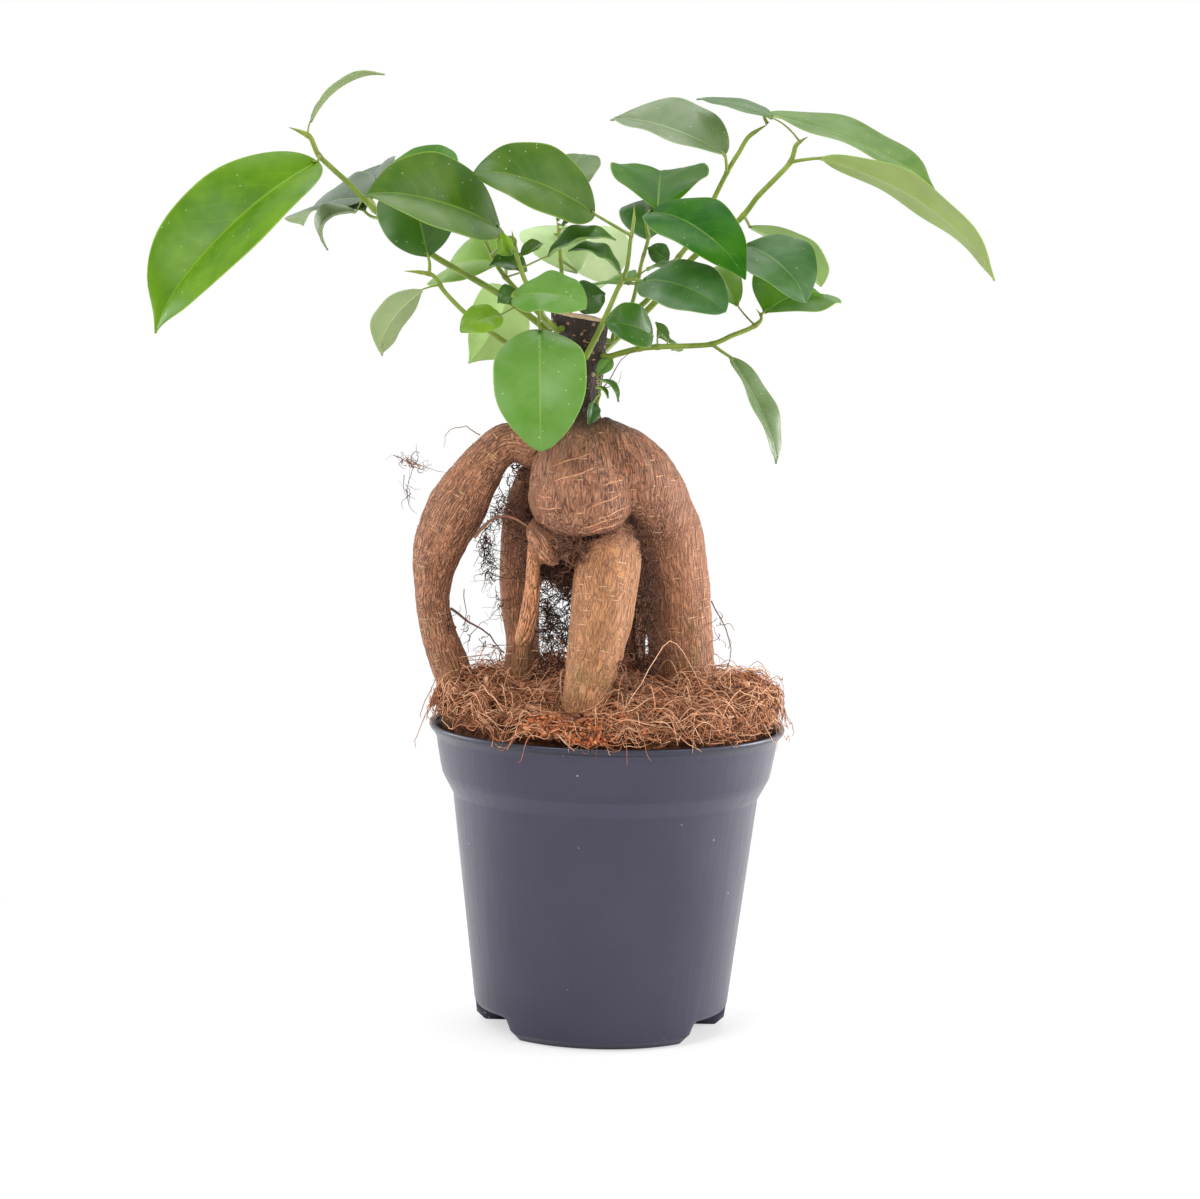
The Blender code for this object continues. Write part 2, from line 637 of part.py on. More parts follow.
def leaf_rows(leaf, path):
    """Rows of (centre, half width, rise) from the petiole's seat to the blade's tip, in millimetres."""
    _, place, base, tip, width, face, arch, fold = leaf
    base, tip, fold = Vector(base), Vector(tip), math.radians(fold)
    along, across, up = leaf_frame(base, tip, face)
    seat, out = petiole_seat(path, place, base)
    across_seat = (across - out * across.dot(out)).normalized()
    neck = base - along * (base - seat).length * 0.35
    half = 0.5 * PETIOLE_WIDTH
    rows = [(seat, across_seat * half, Vector()), ((seat + neck) / 2, across * half, Vector())]
    for u in BLADE_STATIONS:
        middle = base + (tip - base) * u + up * arch * 4 * u * (1 - u)
        half = max(0.5 * width * blade_share(min(u, 0.999)), 0.5 * PETIOLE_WIDTH if u < 0.5 else 0.35)
        rows.append((middle, across * half * math.cos(fold), up * half * math.sin(fold)))
    return rows


def build_leaf(name, leaf, path, collection, material):
    rows = leaf_rows(leaf, path)
    columns = 4 if leaf[4] >= LARGE_LEAF_WIDTH else 2
    bm = bmesh.new()
    bmesh.ops.create_grid(bm, x_segments=columns, y_segments=len(rows) - 1, size=1.0)
    for vert in bm.verts:
        v = vert.co.x
        row = round((vert.co.y + 1.0) / 2.0 * (len(rows) - 1))
        middle, side, rise = rows[row]
        vert.co = (middle + side * v + rise * abs(v)) * MM
    mesh = bpy.data.meshes.new(f"leaf_{name}")
    bm.to_mesh(mesh)
    bm.free()
    obj = add_object(f"leaf_{name}", mesh, collection, material)
    body = obj.modifiers.new("Thickness", "SOLIDIFY")
    body.thickness = LEAF_THICKNESS * MM
    body.offset = 0.0
    mesh.shade_smooth()
    return obj


def build_leaves(collection, paths, material, pale_material):
    for name, leaf in LEAVES.items():
        chosen = pale_material if "pale" in name or "young" in name else material
        build_leaf(name, leaf, paths[leaf[0]], collection, chosen)


def main():
    clear_scene()
    collection = new_collection("ginseng_ficus")
    cutters = new_collection("cutters")
    plastic = new_material("pot_plastic", POT_COLOUR, 0.42)
    coir_fibre = new_material("coir_fibre", COIR_COLOUR, 0.95)
    bark = new_material("bark", BARK_COLOUR, 0.75)
    shoot_skin = new_material("shoot_skin", SHOOT_COLOUR, 0.5)
    leaf_green = new_material("leaf_green", LEAF_COLOUR, 0.35)
    leaf_pale = new_material("leaf_pale", PALE_LEAF_COLOUR, 0.45)

    pockets = pocket_pieces(cutters)
    build_pot(collection, plastic, pockets)
    trunk = build_trunk(collection, cutters, bark)
    build_coir(collection, cutters, coir_fibre, trunk, pockets)
    bark_points = [vert.co for vert in trunk.data.vertices]
    tree = BVHTree.FromPolygons(bark_points, [face.vertices for face in trunk.data.polygons])
    paths = build_shoots(collection, shoot_skin, tree)
    build_leaves(collection, paths, leaf_green, leaf_pale)


main()
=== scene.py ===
"""Ginseng ficus bonsai in its nursery pot, dressed over the frame of its solids.

Metres, +Z up, -Y the front. The tables are in millimetres and are scaled by MM.
"""

import math
from contextlib import contextmanager

import bmesh
import bpy
import numpy as np
from bpy.props import FloatProperty, FloatVectorProperty, IntProperty, PointerProperty
from bpy.types import Operator, Panel, PropertyGroup
from mathutils import Matrix, Vector, noise
from mathutils.bvhtree import BVHTree


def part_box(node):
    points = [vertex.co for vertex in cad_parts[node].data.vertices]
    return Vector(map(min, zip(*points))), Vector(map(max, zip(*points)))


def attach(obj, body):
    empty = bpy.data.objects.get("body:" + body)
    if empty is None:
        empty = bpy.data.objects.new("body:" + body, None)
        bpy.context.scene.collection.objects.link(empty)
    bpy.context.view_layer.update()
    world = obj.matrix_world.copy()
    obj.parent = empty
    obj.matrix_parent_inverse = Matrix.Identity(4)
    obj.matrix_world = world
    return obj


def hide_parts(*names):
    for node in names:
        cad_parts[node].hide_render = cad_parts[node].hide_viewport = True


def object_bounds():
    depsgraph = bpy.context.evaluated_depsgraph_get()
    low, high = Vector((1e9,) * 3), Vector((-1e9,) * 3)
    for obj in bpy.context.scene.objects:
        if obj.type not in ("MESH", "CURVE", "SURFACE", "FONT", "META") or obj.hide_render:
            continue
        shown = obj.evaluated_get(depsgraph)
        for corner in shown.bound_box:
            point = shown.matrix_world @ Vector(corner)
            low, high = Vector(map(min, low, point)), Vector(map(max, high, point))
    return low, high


bl_info = {
    "name": "Ginseng Ficus Bonsai",
    "version": (1, 0, 0),
    "blender": (4, 5, 0),
    "location": "3D View > Sidebar > Ficus",
    "description": "Dresses the solids of a potted ginseng ficus with bark, coir, shoots and leaves",
    "category": "Object",
}

MM = 0.001
BODY = "root"

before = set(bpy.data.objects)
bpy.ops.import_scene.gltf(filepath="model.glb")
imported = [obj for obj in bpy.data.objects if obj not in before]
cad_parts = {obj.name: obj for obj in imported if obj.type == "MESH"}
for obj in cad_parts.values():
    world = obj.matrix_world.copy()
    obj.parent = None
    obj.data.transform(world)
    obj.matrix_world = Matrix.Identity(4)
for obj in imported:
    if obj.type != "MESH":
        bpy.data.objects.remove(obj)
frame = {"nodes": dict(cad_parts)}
SOLIDS_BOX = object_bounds()
POT_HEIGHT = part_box("pot")[1].z / MM
TRUNK_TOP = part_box("trunk_and_roots")[1].z

# Pot, in millimetres: lip, collar, step, base, the pockets raised in the base, and their slots.
LIP_RADIUS = 60.0
LIP_DROP = 2.4
COLLAR_RADIUS = 57.1
COLLAR_FOOT = (54.4, 84.6)
STEP_FOOT = (51.5, 79.2)
FLAT_RADIUS = 39.2
BASE_ROUND = 2.6
POCKET_HEIGHT = 6.8
POCKET_INNER_RADIUS = 30.0
POCKET_ANGLES = (-22.0, 90.0, 202.0)
POCKET_HALF_ANGLE = 19.0
POCKET_FLARE = 5.5
POCKET_FADE = 9.0
SLOT_PLACE = 36.0
SLOT_RADIUS = 1.6
SLOT_REACH = 2.9
SLOT_DEPTH = 9.0

# Trunk and roots: centrelines as (x, y, z, radius).
ROOTS = {
    "neck": (
        (-12, 0, 246, 9.9), (-12, 0, 239, 9.8), (-11.5, 0, 230, 8.2), (-11, -1, 220, 7),
        (-11, -1, 211, 6), (-11, -2, 204, 8), (-10, -4, 197, 12),
    ),
    "caudex": (
        (-10, -3, 201, 9), (-9, -6, 194, 13.5), (-10, -8, 186, 16.6), (-11, -9, 177, 15.5),
        (-12, -8, 170, 10),
    ),
    "belly": (
        (-12, -12, 205, 4), (-12, -12.5, 202, 9), (-11.5, -13.5, 197, 13.5), (-11, -15, 190, 16.8),
        (-10, -15.6, 183, 18.2), (-9.2, -15.8, 177, 17.4), (-8.6, -15.8, 172.5, 15),
            (-8.2, -15.6, 170, 11.5),
        (-8, -15.5, 169, 5),
    ),
    "shoulder": (
        (-8, -11, 203, 7), (-1, -13, 195, 12), (6, -11.5, 187.5, 14), (12.5, -5.5, 179, 13.4),
            (18, 0.5, 168, 11.6),
        (20, 3, 160, 9),
    ),
    "left": (
        (-20, -5, 193, 8), (-33, -5, 198, 6.6), (-40, -5, 194, 7), (-46, -4, 186, 8.4),
        (-51, -3, 177, 9.8), (-56, -1, 167, 9.5), (-59, 0, 157, 7.7), (-60, 2, 145, 6),
        (-58, 3, 134, 6), (-55, 4, 125, 6.4), (-51, 4, 115, 6.6), (-47, 4, 104, 5.6),
        (-44, 4, 94, 4),
    ),
    "right": (
        (-5, -4, 190, 11), (4, -3, 184, 12), (13, -1, 177, 12.5), (18.5, 1, 168, 12.2),
        (21, 3, 158, 11.7), (22.5, 5, 147, 11.3), (24, 7, 133, 11.1), (25, 8, 118, 11),
        (25, 8, 106, 9.5), (24, 8, 94, 7),
    ),
    "front": (
        (-3, -8, 178, 9), (-1, -13, 170, 9.5), (-0.5, -17.5, 163, 10.4), (-1.5, -23.5, 154, 11),
        (-2.5, -28, 144, 10.6), (-4, -31, 134, 9.6), (-6, -33.5, 124, 8.4), (-8, -36, 113, 7.3),
        (-9, -37, 101, 5.8), (-9, -36, 92, 4.2),
    ),
    "second": (
        (-18, 0, 190, 7), (-27, 2, 184, 6), (-31.5, 4, 172, 5.2), (-33, 5, 159, 4.7), (-32, 5, 144, 5),
        (-30, 4, 130, 4.9), (-31, 2, 115, 4.6), (-31, 2, 102, 3.6),
    ),
    "rear": (
        (-4, 4, 184, 11), (3, 16, 168, 9), (6, 24, 152, 8), (5, 28, 132, 7.8), (4, 30, 116, 8),
        (4, 30, 102, 6.4),
    ),
    "rear_left": (
        (-14, 2, 182, 9), (-24, 16, 166, 6.6), (-29, 25, 148, 5.8), (-30, 28, 130, 5.8),
        (-28, 29, 116, 6), (-26, 28, 102, 4.6),
    ),
    "rear_right": (
        (8, 3, 178, 9), (18, 20, 162, 6.4), (24, 30, 142, 5.6), (24, 33, 116, 6), (23, 32, 102, 4.6),
    ),
    "thin": ((0, 8, 170, 5), (6, 14, 150, 3), (8, 17, 132, 2.4), (10, 15, 116, 2.4), (10, 14, 106, 2.2)),
    "crotch": ((-8, 2, 172, 11), (-10, 6, 162, 9), (-10, 8, 154, 7), (-9, 9, 149, 3)),
    "stub": (
        (-24.5, -19, 166, 3.0), (-25.4, -21.5, 162, 2.8), (-25.6, -23, 156.5, 2.5),
            (-25.7, -23, 149.5, 2.6),
        (-26.7, -22.5, 141, 3.0), (-28.1, -22, 135.0, 3.2), (-28.9, -22, 132.6, 2.6),
            (-29.2, -22, 131.4, 1.8),
    ),
    "knot": (
        (-24, -10, 170, 3.2), (-25, -17, 168.5, 3.6), (-22.5, -22, 166.5, 3.9), (-21, -23.5, 162.5, 3.6),
        (-17.5, -22.5, 159.5, 2.4),
    ),
}

# The roots that make up the swollen body, its top and its axis, the height over which its bark fans
# out, how deep in it the other roots' own bark starts, and the steps in which a root is measured.
BODY_ROOTS = ("neck", "caudex", "belly", "shoulder", "crotch")
BODY_TOP = 216.0
BODY_AXIS = (-10.0, -2.0)
BODY_FAN = 26.0
LEAVING_DEPTH = 3.0
ROOT_STEPS = 70

# Shoots: centreline points (x, y, z), then the radius at the neck and before the bud.
SHOOTS = {
    "upper_left": (
        ((-22, 2, 236), (-38, -2, 246), (-54, -4, 255), (-61, -5, 259), (-72, -7, 267), (-80, -8, 273),
         (-89, -10, 282), (-99, -12, 291), (-102, -13, 297), (-109, -14, 300)),
        1.6, 1.1,
    ),
    "lower_left": (
        ((-18, -8, 228), (-27, -11, 228), (-36, -13, 231), (-49, -16, 240), (-57, -18, 248),
         (-61, -18, 253), (-70, -20, 254)),
        1.3, 0.9,
    ),
    "crown_left": (
        ((-19, -4, 237), (-29, -5, 244), (-35, -3, 250), (-40, -1, 256), (-45, 3, 265), (-52, 7, 272),
         (-58, 9, 276)),
        1.2, 0.9,
    ),
    "front": (
        ((-18, -7, 236), (-24, -14, 240), (-26, -15, 245), (-30, -15, 251), (-33, -15, 259),
         (-35, -16, 268)),
        1.3, 1.0,
    ),
    "middle": (
        ((-15, 8, 236), (-18, 12, 247), (-19, 14, 256), (-20, 15, 267), (-21, 16, 272)),
        1.2, 0.8,
    ),
    "centre": (
        ((-10, -9, 227), (-5, -9, 237), (0, -7, 249), (3, -5, 256), (4, -3, 265), (5, -2, 272),
         (5, -2, 278)),
        1.5, 0.7,
    ),
    "inner_right": (
        ((-3, 1, 232), (0, 3, 236), (5, 6, 244), (8, 9, 258), (10, 9, 266), (10, 9, 272)),
        1.1, 0.8,
    ),
    "lower_right": (
        ((-3, -4, 227), (8, -8, 230), (18, -10, 231), (31, -12, 232), (38, -12, 235), (45, -11, 238),
         (48, -10, 241), (46, -10, 244)),
        1.4, 1.0,
    ),
    "rear_right": (
        ((-8, 9, 235), (1, 18, 239), (10, 20, 245), (19, 19, 258), (27, 18, 269), (31, 16, 278),
         (36, 12, 289), (40, 10, 296), (43, 9, 301), (49, 7, 305)),
        1.4, 1.0,
    ),
    "upper_right": (
        ((-4, 8, 228), (2, 13, 234), (13, 12, 245), (25, 6, 260), (40, 2, 273), (46, -1, 281),
         (56, -4, 292), (58, -5, 298), (62, -6, 301)),
        1.6, 1.1,
    ),
    "neck_side": (((-7, -6, 211), (-5, -9, 215), (-5, -10, 220)), 0.9, 0.6),
}
SHOOT_SPANS = 2
SHOOT_GAP = 0.45

# Leaves. First line: shoot, place on the shoot's points, blade base, blade tip, width, and direction
# that the upper face looks in. Second line: height of the blade's arch, fold of each half in degrees,
# how far the tip hooks down, how high the margin waves, how far from pointed, 0, to round, 1, the tip
# and the base are, and the finish.
LEAVES = {
    "left_end": ("upper_left", 7.0, (-99, -18, 289), (-150.5, -38, 234.5), 41, (-0.23, -0.68, 0.7),
        7, 17, 3.5, 0.5, 0, 1, "sunny"),
    "left_top": ("upper_left", 8.1, (-102, -12, 302), (-79, -4, 319), 11, (-0.6, 0, 0.75),
        4, 18, 1, 0.2, 0, 0, "grey"),
    "left_mid": ("upper_left", 5.1, (-83, 0, 277), (-109, 34, 269.5), 31, (0, -0.62, 0.78),
        3, 12, 2, 0.6, 0, 0, "slate"),
    "left_mid_rear": ("upper_left", 4.7, (-85, 3, 273.5), (-81, 33, 289), 24, (-0.5, -0.7, 0.4),
        2, 12, 0, 0.4, 0.5, 0, "slate"),
    "left_droop": ("upper_left", 5.5, (-87, -5, 273), (-98, -2, 261), 12, (-0.3, -0.5, 0.8),
        6, 25, 2, 0.3, 0, 0, "grey"),
    "left_back": ("crown_left", 6.0, (-70, 16, 272), (-62, 37, 296), 25, (-0.3, -0.95, 0.2),
        2, 10, 0, 0.4, 0.5, 0, "matt"),
    "left_front": ("crown_left", 3.4, (-39, -14, 268.5), (-80, -42, 280), 34, (0, -0.8, 0.6),
        4, 18, 2, 0.5, 0.5, 0, "mid"),
    "left_low": ("lower_left", 5.1, (-62, -22, 259), (-69, -12, 287), 27, (-0.1, -1, 0.1),
        2, 12, 0, 0.4, 0, 0, "deep"),
    "crown_front": ("centre", 4.3, (-8, -13, 274), (-46, -29, 288), 29, (-0.05, -0.78, 0.62),
        4, 14, 3, 0.5, 0.7, 0.3, "mid"),
    "crown_back": ("middle", 3.9, (-18, 21, 280), (-14, 48, 294), 19, (-0.1, -0.8, 0.6),
        2, 10, 0, 0.3, 0.8, 0, "mid"),
    "right_saddle": ("inner_right", 4.7, (13, 14, 276), (14, 47, 289), 36, (0, -0.4, 0.92),
        1, 24, 0, 0.8, 0, 0, "matt"),
    "right_front": ("inner_right", 4.2, (10, 1, 275), (41, -34, 257), 25, (0.12, -0.8, 0.6),
        6, 12, 3.5, 0.5, 0.4, 0, "rich"),
    "right_high": ("rear_right", 6.0, (35, 7, 294.5), (-3.5, 26, 306.5), 31, (0.04, -0.44, 0.89),
        3, 17, 1, 0.6, 0, 0.8, "grey"),
    "top_right": ("upper_right", 7.3, (50, -1, 307), (25.5, 22, 313.5), 13, (0.15, -0.36, 0.92),
        1.5, 2, 0.3, 0.2, 0, 0, "deep"),
    "far_right_upper": ("rear_right", 9.0, (48, 6, 308.5), (105, -10, 285.5), 30, (0.33, -0.34, 0.88),
        3, 10, 2, 0.6, 0, 0, "meadow"),
    "far_right_lower": ("upper_right", 6.1, (66, -9, 294), (124, -26, 257), 26, (0.45, 0.36, 0.82),
        7, 5, 2, 0.6, 0.35, 0, "bright"),
    "right_dark": ("upper_right", 3.9, (42, -6, 265), (62, -24, 249), 26, (0.15, -0.7, 0.7),
        3.5, 12, 3, 0.5, 0.6, 0, "blue"),
    "right_pale": ("upper_right", 4.2, (44, 10, 271), (70, 32, 252), 22, (0.62, 0.55, 0.5),
        3, 12, 1, 0.3, 0.7, 0, "mid"),
    "right_bright": ("lower_right", 6.3, (49, -8, 243), (69, 20, 248.5), 31, (-0.2, -0.8, 0.56),
        3, 14, 0, 0.6, 0.8, 0, "lush"),
    "right_behind": ("lower_right", 5.2, (40, -4, 245), (33, 17, 257), 11, (-0.1, -0.85, 0.5),
        2, 8, 0, 0.3, 0.5, 0, "glow"),
    "centre_low": ("centre", 2.5, (8, -12, 252.5), (35, -33, 244.5), 23, (0.05, -0.76, 0.64),
        4, 6, 1.2, 0.4, 0.9, 0, "blue"),
    "neck_dark": ("lower_right", 1.0, (12, -14, 234.5), (-3, -24, 239), 16.5, (0.1, -0.85, 0.5),
        2, 12, 1, 0.3, 0.9, 0.4, "deep"),
    "neck_back": ("lower_right", 1.6, (14, -2, 234), (19, 11, 229), 12, (0, -0.8, 0.6),
        2, 10, 0, 0.3, 0, 0, "mid"),
    "right_hanging": ("lower_right", 3.1, (38, -13, 228), (54.5, -20, 194), 16.5, (0.75, -0.42, 0.3),
        2, 14, 1, 0.4, 0, 0.8, "grey"),
    "big_front": ("front", 1.6, (-25, -22, 236), (-23.5, -44, 199), 31, (0, -0.92, 0.38),
        7, 6, 3, 0.8, 0.75, 0, "soft"),
    "front_right": ("front", 2.9, (-34, -22, 246.3), (-10.5, -33, 245.3), 19, (0.02, -0.72, 0.7),
        3, 5, 2, 0.6, 1, 0.5, "soft"),
    "front_curled": ("front", 2.4, (-38, -20, 240.5), (-50, -32, 236), 11, (0.1, -0.85, 0.5),
        1.5, 8, 1.5, 0.4, 0.8, 0, "bright"),
    "left_pale_low": ("crown_left", 1.6, (-36, 5, 248), (-49, 26, 223), 23, (0.55, 0.7, 0.45),
        4, 12, 2, 0.4, 0, 0, "glow"),
    "left_hanging": ("lower_left", 4.3, (-64, -21, 248), (-77, -36, 227), 13, (-0.75, 0.5, -0.2),
        5, 10, 2, 0.4, 0, 0, "grey"),
    "left_rear": ("crown_left", 2.5, (-39, 5, 257), (-60, 34, 252.5), 29, (0, -0.8, 0.6),
        3, 10, 1, 0.4, 1, 0.4, "glow"),
    "rear_pale_left": ("middle", 2.2, (-14, 24, 254), (-31, 36, 268), 25, (0.1, -0.4, 0.9),
        3, 6, 0, 0.3, 1, 0.5, "dewy"),
    "rear_pale_right": ("middle", 3.2, (-15, 24, 268), (-4, 56, 250), 27, (0.1, 0.82, 0.52),
        4, 10, 0, 0.3, 0.9, 0.3, "dewy"),
    "middle_curled": ("front", 3.6, (-23, -14, 260), (-1, -17, 266.5), 11, (0.1, -0.5, 0.85),
        3, 30, 1, 0.6, 0, 0, "deep"),
    "centre_curled": ("centre", 2.3, (1, -11, 255), (-16, -14, 262.5), 9, (0.2, -0.5, 0.85),
        3, 24, 1, 0.6, 0, 0, "deep"),
    "inner_blue": ("inner_right", 3.3, (10, 15, 266), (9, 36, 279), 18, (-0.1, -0.95, 0.3),
        2, 10, 0, 0.3, 0, 0, "blue"),
    "middle_dark": ("crown_left", 2.4, (-30, -8, 255), (-42, -12, 257), 11, (0, -0.7, 0.7),
        2, 20, 1, 0.4, 0, 0, "deep"),
    "neck_right": ("middle", 0.8, (-13, 10, 242), (-4, 10, 247.5), 14, (0, -0.8, 0.6),
        2, 12, 0, 0.3, 0, 0, "deep"),
    "inner_small": ("rear_right", 3.2, (17, 15, 258.5), (10, 14, 263), 8, (0, -0.85, 0.5),
        1, 10, 0, 0.3, 0, 0, "deep"),
    "inner_narrow": ("inner_right", 2.7, (10, 3, 256), (18, -3, 257), 8, (0, -0.3, 0.95),
        1, 8, 0, 0.2, 0, 0, "deep"),
    "inner_pale": ("inner_right", 2.5, (4, 11, 251), (-7, 30, 248), 18, (0, -0.5, 0.86),
        2, 8, 0, 0.3, 0, 0, "soft"),
    "front_young": ("front", 4.6, (-35, -19, 260), (-38, -22, 267.5), 7, (-0.3, -0.85, 0.4),
        1.5, 34, 1, 0.5, 0, 0, "bright"),
    "side_upper": ("neck_side", 1.8, (-5, -13, 219.5), (1.5, -17, 213), 3.4, (0.5, -0.6, 0.6),
        2.4, 20, 0.5, 0.1, 0, 0, "deep"),
    "side_lower": ("neck_side", 0.9, (-7, -14, 212), (-8.5, -20, 205), 5, (0.4, -0.8, 0.3),
        1.5, 22, 0, 0.1, 0, 0, "blue"),
}

# Small leaves that only the dressed plant has, with the same columns.
YOUNG_LEAVES = {
    "side_middle": ("neck_side", 1.5, (-6, -12, 217), (-2, -16, 214), 2.2, (0.5, -0.6, 0.6),
        1.2, 20, 0.3, 0.1, 0, 0, "mid"),
    "side_pale": ("neck_side", 1.9, (-6, -8, 221), (-1, -3, 226), 5, (0.4, -0.5, 0.7),
        1, 10, 0, 0.1, 0, 0, "soft"),
    "front_left": ("front", 2.4, (-32, -17, 247), (-39, -20, 245), 9, (-0.2, -0.8, 0.5),
        1, 10, 1, 0.3, 0, 0, "deep"),
    "bud_left": ("front", 4.3, (-34, -16, 262), (-37, -14, 266), 3.5, (0.5, -0.8, 0.3),
        1, 30, 0.5, 0.2, 0, 0, "bright"),
    "bud_right": ("front", 4.0, (-32, -14, 260), (-25, -11, 264), 5, (0.2, -0.8, 0.6),
        1.5, 25, 0.5, 0.3, 0, 0, "mid"),
    "middle_tip": ("middle", 3.5, (-19, 16, 270), (-13, 14, 273), 3, (0.1, -0.8, 0.6),
        1, 25, 0.5, 0.2, 0, 0, "deep"),
    "neck_small": ("lower_right", 1.9, (17, -11, 233), (13, -13, 239), 4, (0.3, -0.8, 0.3),
        0.6, 20, 0, 0.2, 0, 0, "mid"),
}

# Leaf finishes: upper face, painted lit patches on it, underside, and how much the upper face reflects.
# Each is the one leaf colour painted lighter or darker for the light that falls on the leaves that use it:
# grey and slate paint a pale sky sheen, deep paints shade, and glow and the palest finish paint light
# shining through the blade.
LEAF_FINISHES = {
    "bright": ((0.086, 0.195, 0.002), (0.155, 0.285, 0.006), (0.250, 0.330, 0.100), 0.40),
    "rich": ((0.007, 0.077, 0.001), (0.026, 0.122, 0.001), (0.188, 0.342, 0.055), 0.1),
    "mid": ((0.032, 0.096, 0.001), (0.064, 0.132, 0.004), (0.250, 0.380, 0.110), 0.30),
    "matt": ((0.026, 0.120, 0.002), (0.056, 0.165, 0.006), (0.250, 0.380, 0.110), 0.08),
    "deep": ((0.020, 0.080, 0.002), (0.045, 0.122, 0.010), (0.190, 0.310, 0.090), 0.34),
    "blue": ((0.024, 0.094, 0.012), (0.060, 0.145, 0.040), (0.220, 0.350, 0.140), 0.36),
    "grey": ((0.072, 0.128, 0.030), (0.130, 0.190, 0.080), (0.230, 0.290, 0.130), 0.36),
    "lush": ((0.040, 0.150, 0.002), (0.085, 0.215, 0.004), (0.250, 0.380, 0.110), 0.12),
    "dewy": ((0.340, 0.470, 0.200), (0.430, 0.560, 0.270), (0.500, 0.620, 0.340), 0.22),
    "glow": ((0.130, 0.260, 0.020), (0.190, 0.330, 0.050), (0.320, 0.470, 0.150), 0.22),
    "meadow": ((0.070, 0.150, 0.017), (0.126, 0.213, 0.051), (0.322, 0.400, 0.187), 0.14),
    "slate": ((0.045, 0.082, 0.040), (0.085, 0.125, 0.078), (0.200, 0.270, 0.120), 0.36),
    "sunny": ((0.057, 0.157, 0.001), (0.107, 0.230, 0.002), (0.250, 0.330, 0.100), 0.17),
    "soft": ((0.080, 0.205, 0.020), (0.115, 0.245, 0.045), (0.340, 0.430, 0.210), 0.22),
}

# Trunk: height of the wrinkled fold under its belly, where and how the neck is cut off, and how
# far a root's bark blends into its neighbour's.
FOLD_HEIGHT = 174.0
CUT_PLACE = (-12, 0, 240)
CUT_TILT = (3.0, 9.0)
ROOT_SIDES = 24
ROOT_BLEND = 0.7
POINTS_AT_ONCE = 20000

# Roots with a tint: root, how far off it the tint reaches, the height under which the tint shows,
# and its share. The bright roots' tint is painted light, standing in for the light that falls on them;
# the front root's tan is its own colour.
PAINTED_LIT_ROOTS = (("right", 3.0, 190.0, 1.0), ("second", 1.5, 190.0, 1.0), ("left", 3.0, 200.0, 0.45))
TAN_ROOTS = (("front", 2.0, 170.0, 1.0),)
# The stub and the knot are reddish; the stub's colour is also painted lighter, standing in for the light on
# it.
RED_AND_LIT_ROOTS = (("stub", 1.4, 175.0, 1.0), ("knot", 1.4, 171.0, 0.3))

# Relief of the bark in metres: size of its ridges and wrinkles, across, across and along a root,
# and of its swells; and the rounds of smoothing that show its creases.
RIDGE_SIZE = (0.0030, 0.0030, 0.016)
WRINKLE_SIZE = (0.014, 0.014, 0.0022)
SWELL_SIZE = 0.011
CREASE_ROUNDS = 12

# Leaves: sizes in millimetres, the widest place of a blade and how blunt its ends are, its veins,
# and the meshes of blade and stalk.
LEAF_THICKNESS = 0.5
PETIOLE_WIDTH = 1.3
WIDEST = 0.50
TIP_BLUNTNESS = 0.78
BASE_BLUNTNESS = 0.66
VEIN_PAIRS = 9
BLADE_COLUMNS = 16
STALK_ROWS = 18
STALK_SIDES = 8
SHARP_ANGLE = math.radians(60)

# Shoots: sides of a stem, length of its bud, and reach of the swelling at a joint.
STEM_SIDES = 12
BUD_LENGTH = 5.5
JOINT_REACH = 0.9

# Coir: its side in the pot and its edge above the lip as (radius, height), its height above the lip
# at radii from the middle, how much lower its front is, its steps round and rows, how far fibres
# keep off the roots, and the direction in which orange coir is heaped on the lip.
COIR_SIDE = ((37.0, 8.6), (40.5, 9.0), (48.0, 60.0), (49.8, 76.0), (52.0, 84.0), (54.8, 99.0), (56.0, 102.8))
COIR_EDGE = ((55.0, 0.9), (57.2, 2.4), (57.9, 5.6))
MOUND_RADII = (0.0, 22.0, 40.0, 50.0, 55.0, 58.0, 60.5, 62.5, 64.0)
MOUND_HEIGHTS = (13.8, 13.6, 12.8, 11.2, 9.0, 6.0, 2.0, -1.0, -6.0)
MOUND_FRONT_DROP = 0.5
COIR_STEPS = 240
COIR_FLOOR = 8.4
MOUND_ROWS = 56
FEET_GAP = 0.3
HEAP_TURN = -math.pi / 2 - 0.20


# Settings


def colour_value(name, description, *default):
    """A colour among the settings."""
    return FloatVectorProperty(
        name=name, description=description, default=default, subtype="COLOR", min=0, max=1,
    )


def length_value(name, description, default, low=0.0):
    """A length among the settings, given here in millimetres."""
    return FloatProperty(
        name=name, description=description, default=default * MM, min=low * MM, unit="LENGTH",
    )


# Shapes


def metres(point):
    """A point in millimetres as a vector in metres."""
    return Vector(point) * MM


def add_object(name, data, *materials):
    obj = bpy.data.objects.new(name, data)
    bpy.context.scene.collection.objects.link(obj)
    for material in materials:
        data.materials.append(material)
    return obj


@contextmanager
def edited(mesh):
    """The mesh as a bmesh that can be changed, and that is put back at the end."""
    bm = bmesh.new()
    bm.from_mesh(mesh)
    yield bm
    bm.to_mesh(mesh)
    bm.free()


def apply_modifiers(obj):
    """Replaces the object's mesh with the one that its modifiers make."""
    graph = bpy.context.evaluated_depsgraph_get()
    obj.data = bpy.data.meshes.new_from_object(obj.evaluated_get(graph))
    obj.modifiers.clear()


def dress(obj, slot, *nodes):
    """Fixes a piece to the plant and hides the solids that it stands for."""
    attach(obj, BODY)
    if nodes:
        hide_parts(*nodes)
    return obj


def mesh_from_arrays(name, points, quads):
    """A smooth mesh from an array of points in metres and an array of corner numbers."""
    mesh = bpy.data.meshes.new(name)
    mesh.from_pydata(points.reshape(-1, 3).tolist(), [], quads.reshape(-1, 4).tolist())
    mesh.update()
    mesh.shade_smooth()
    return mesh


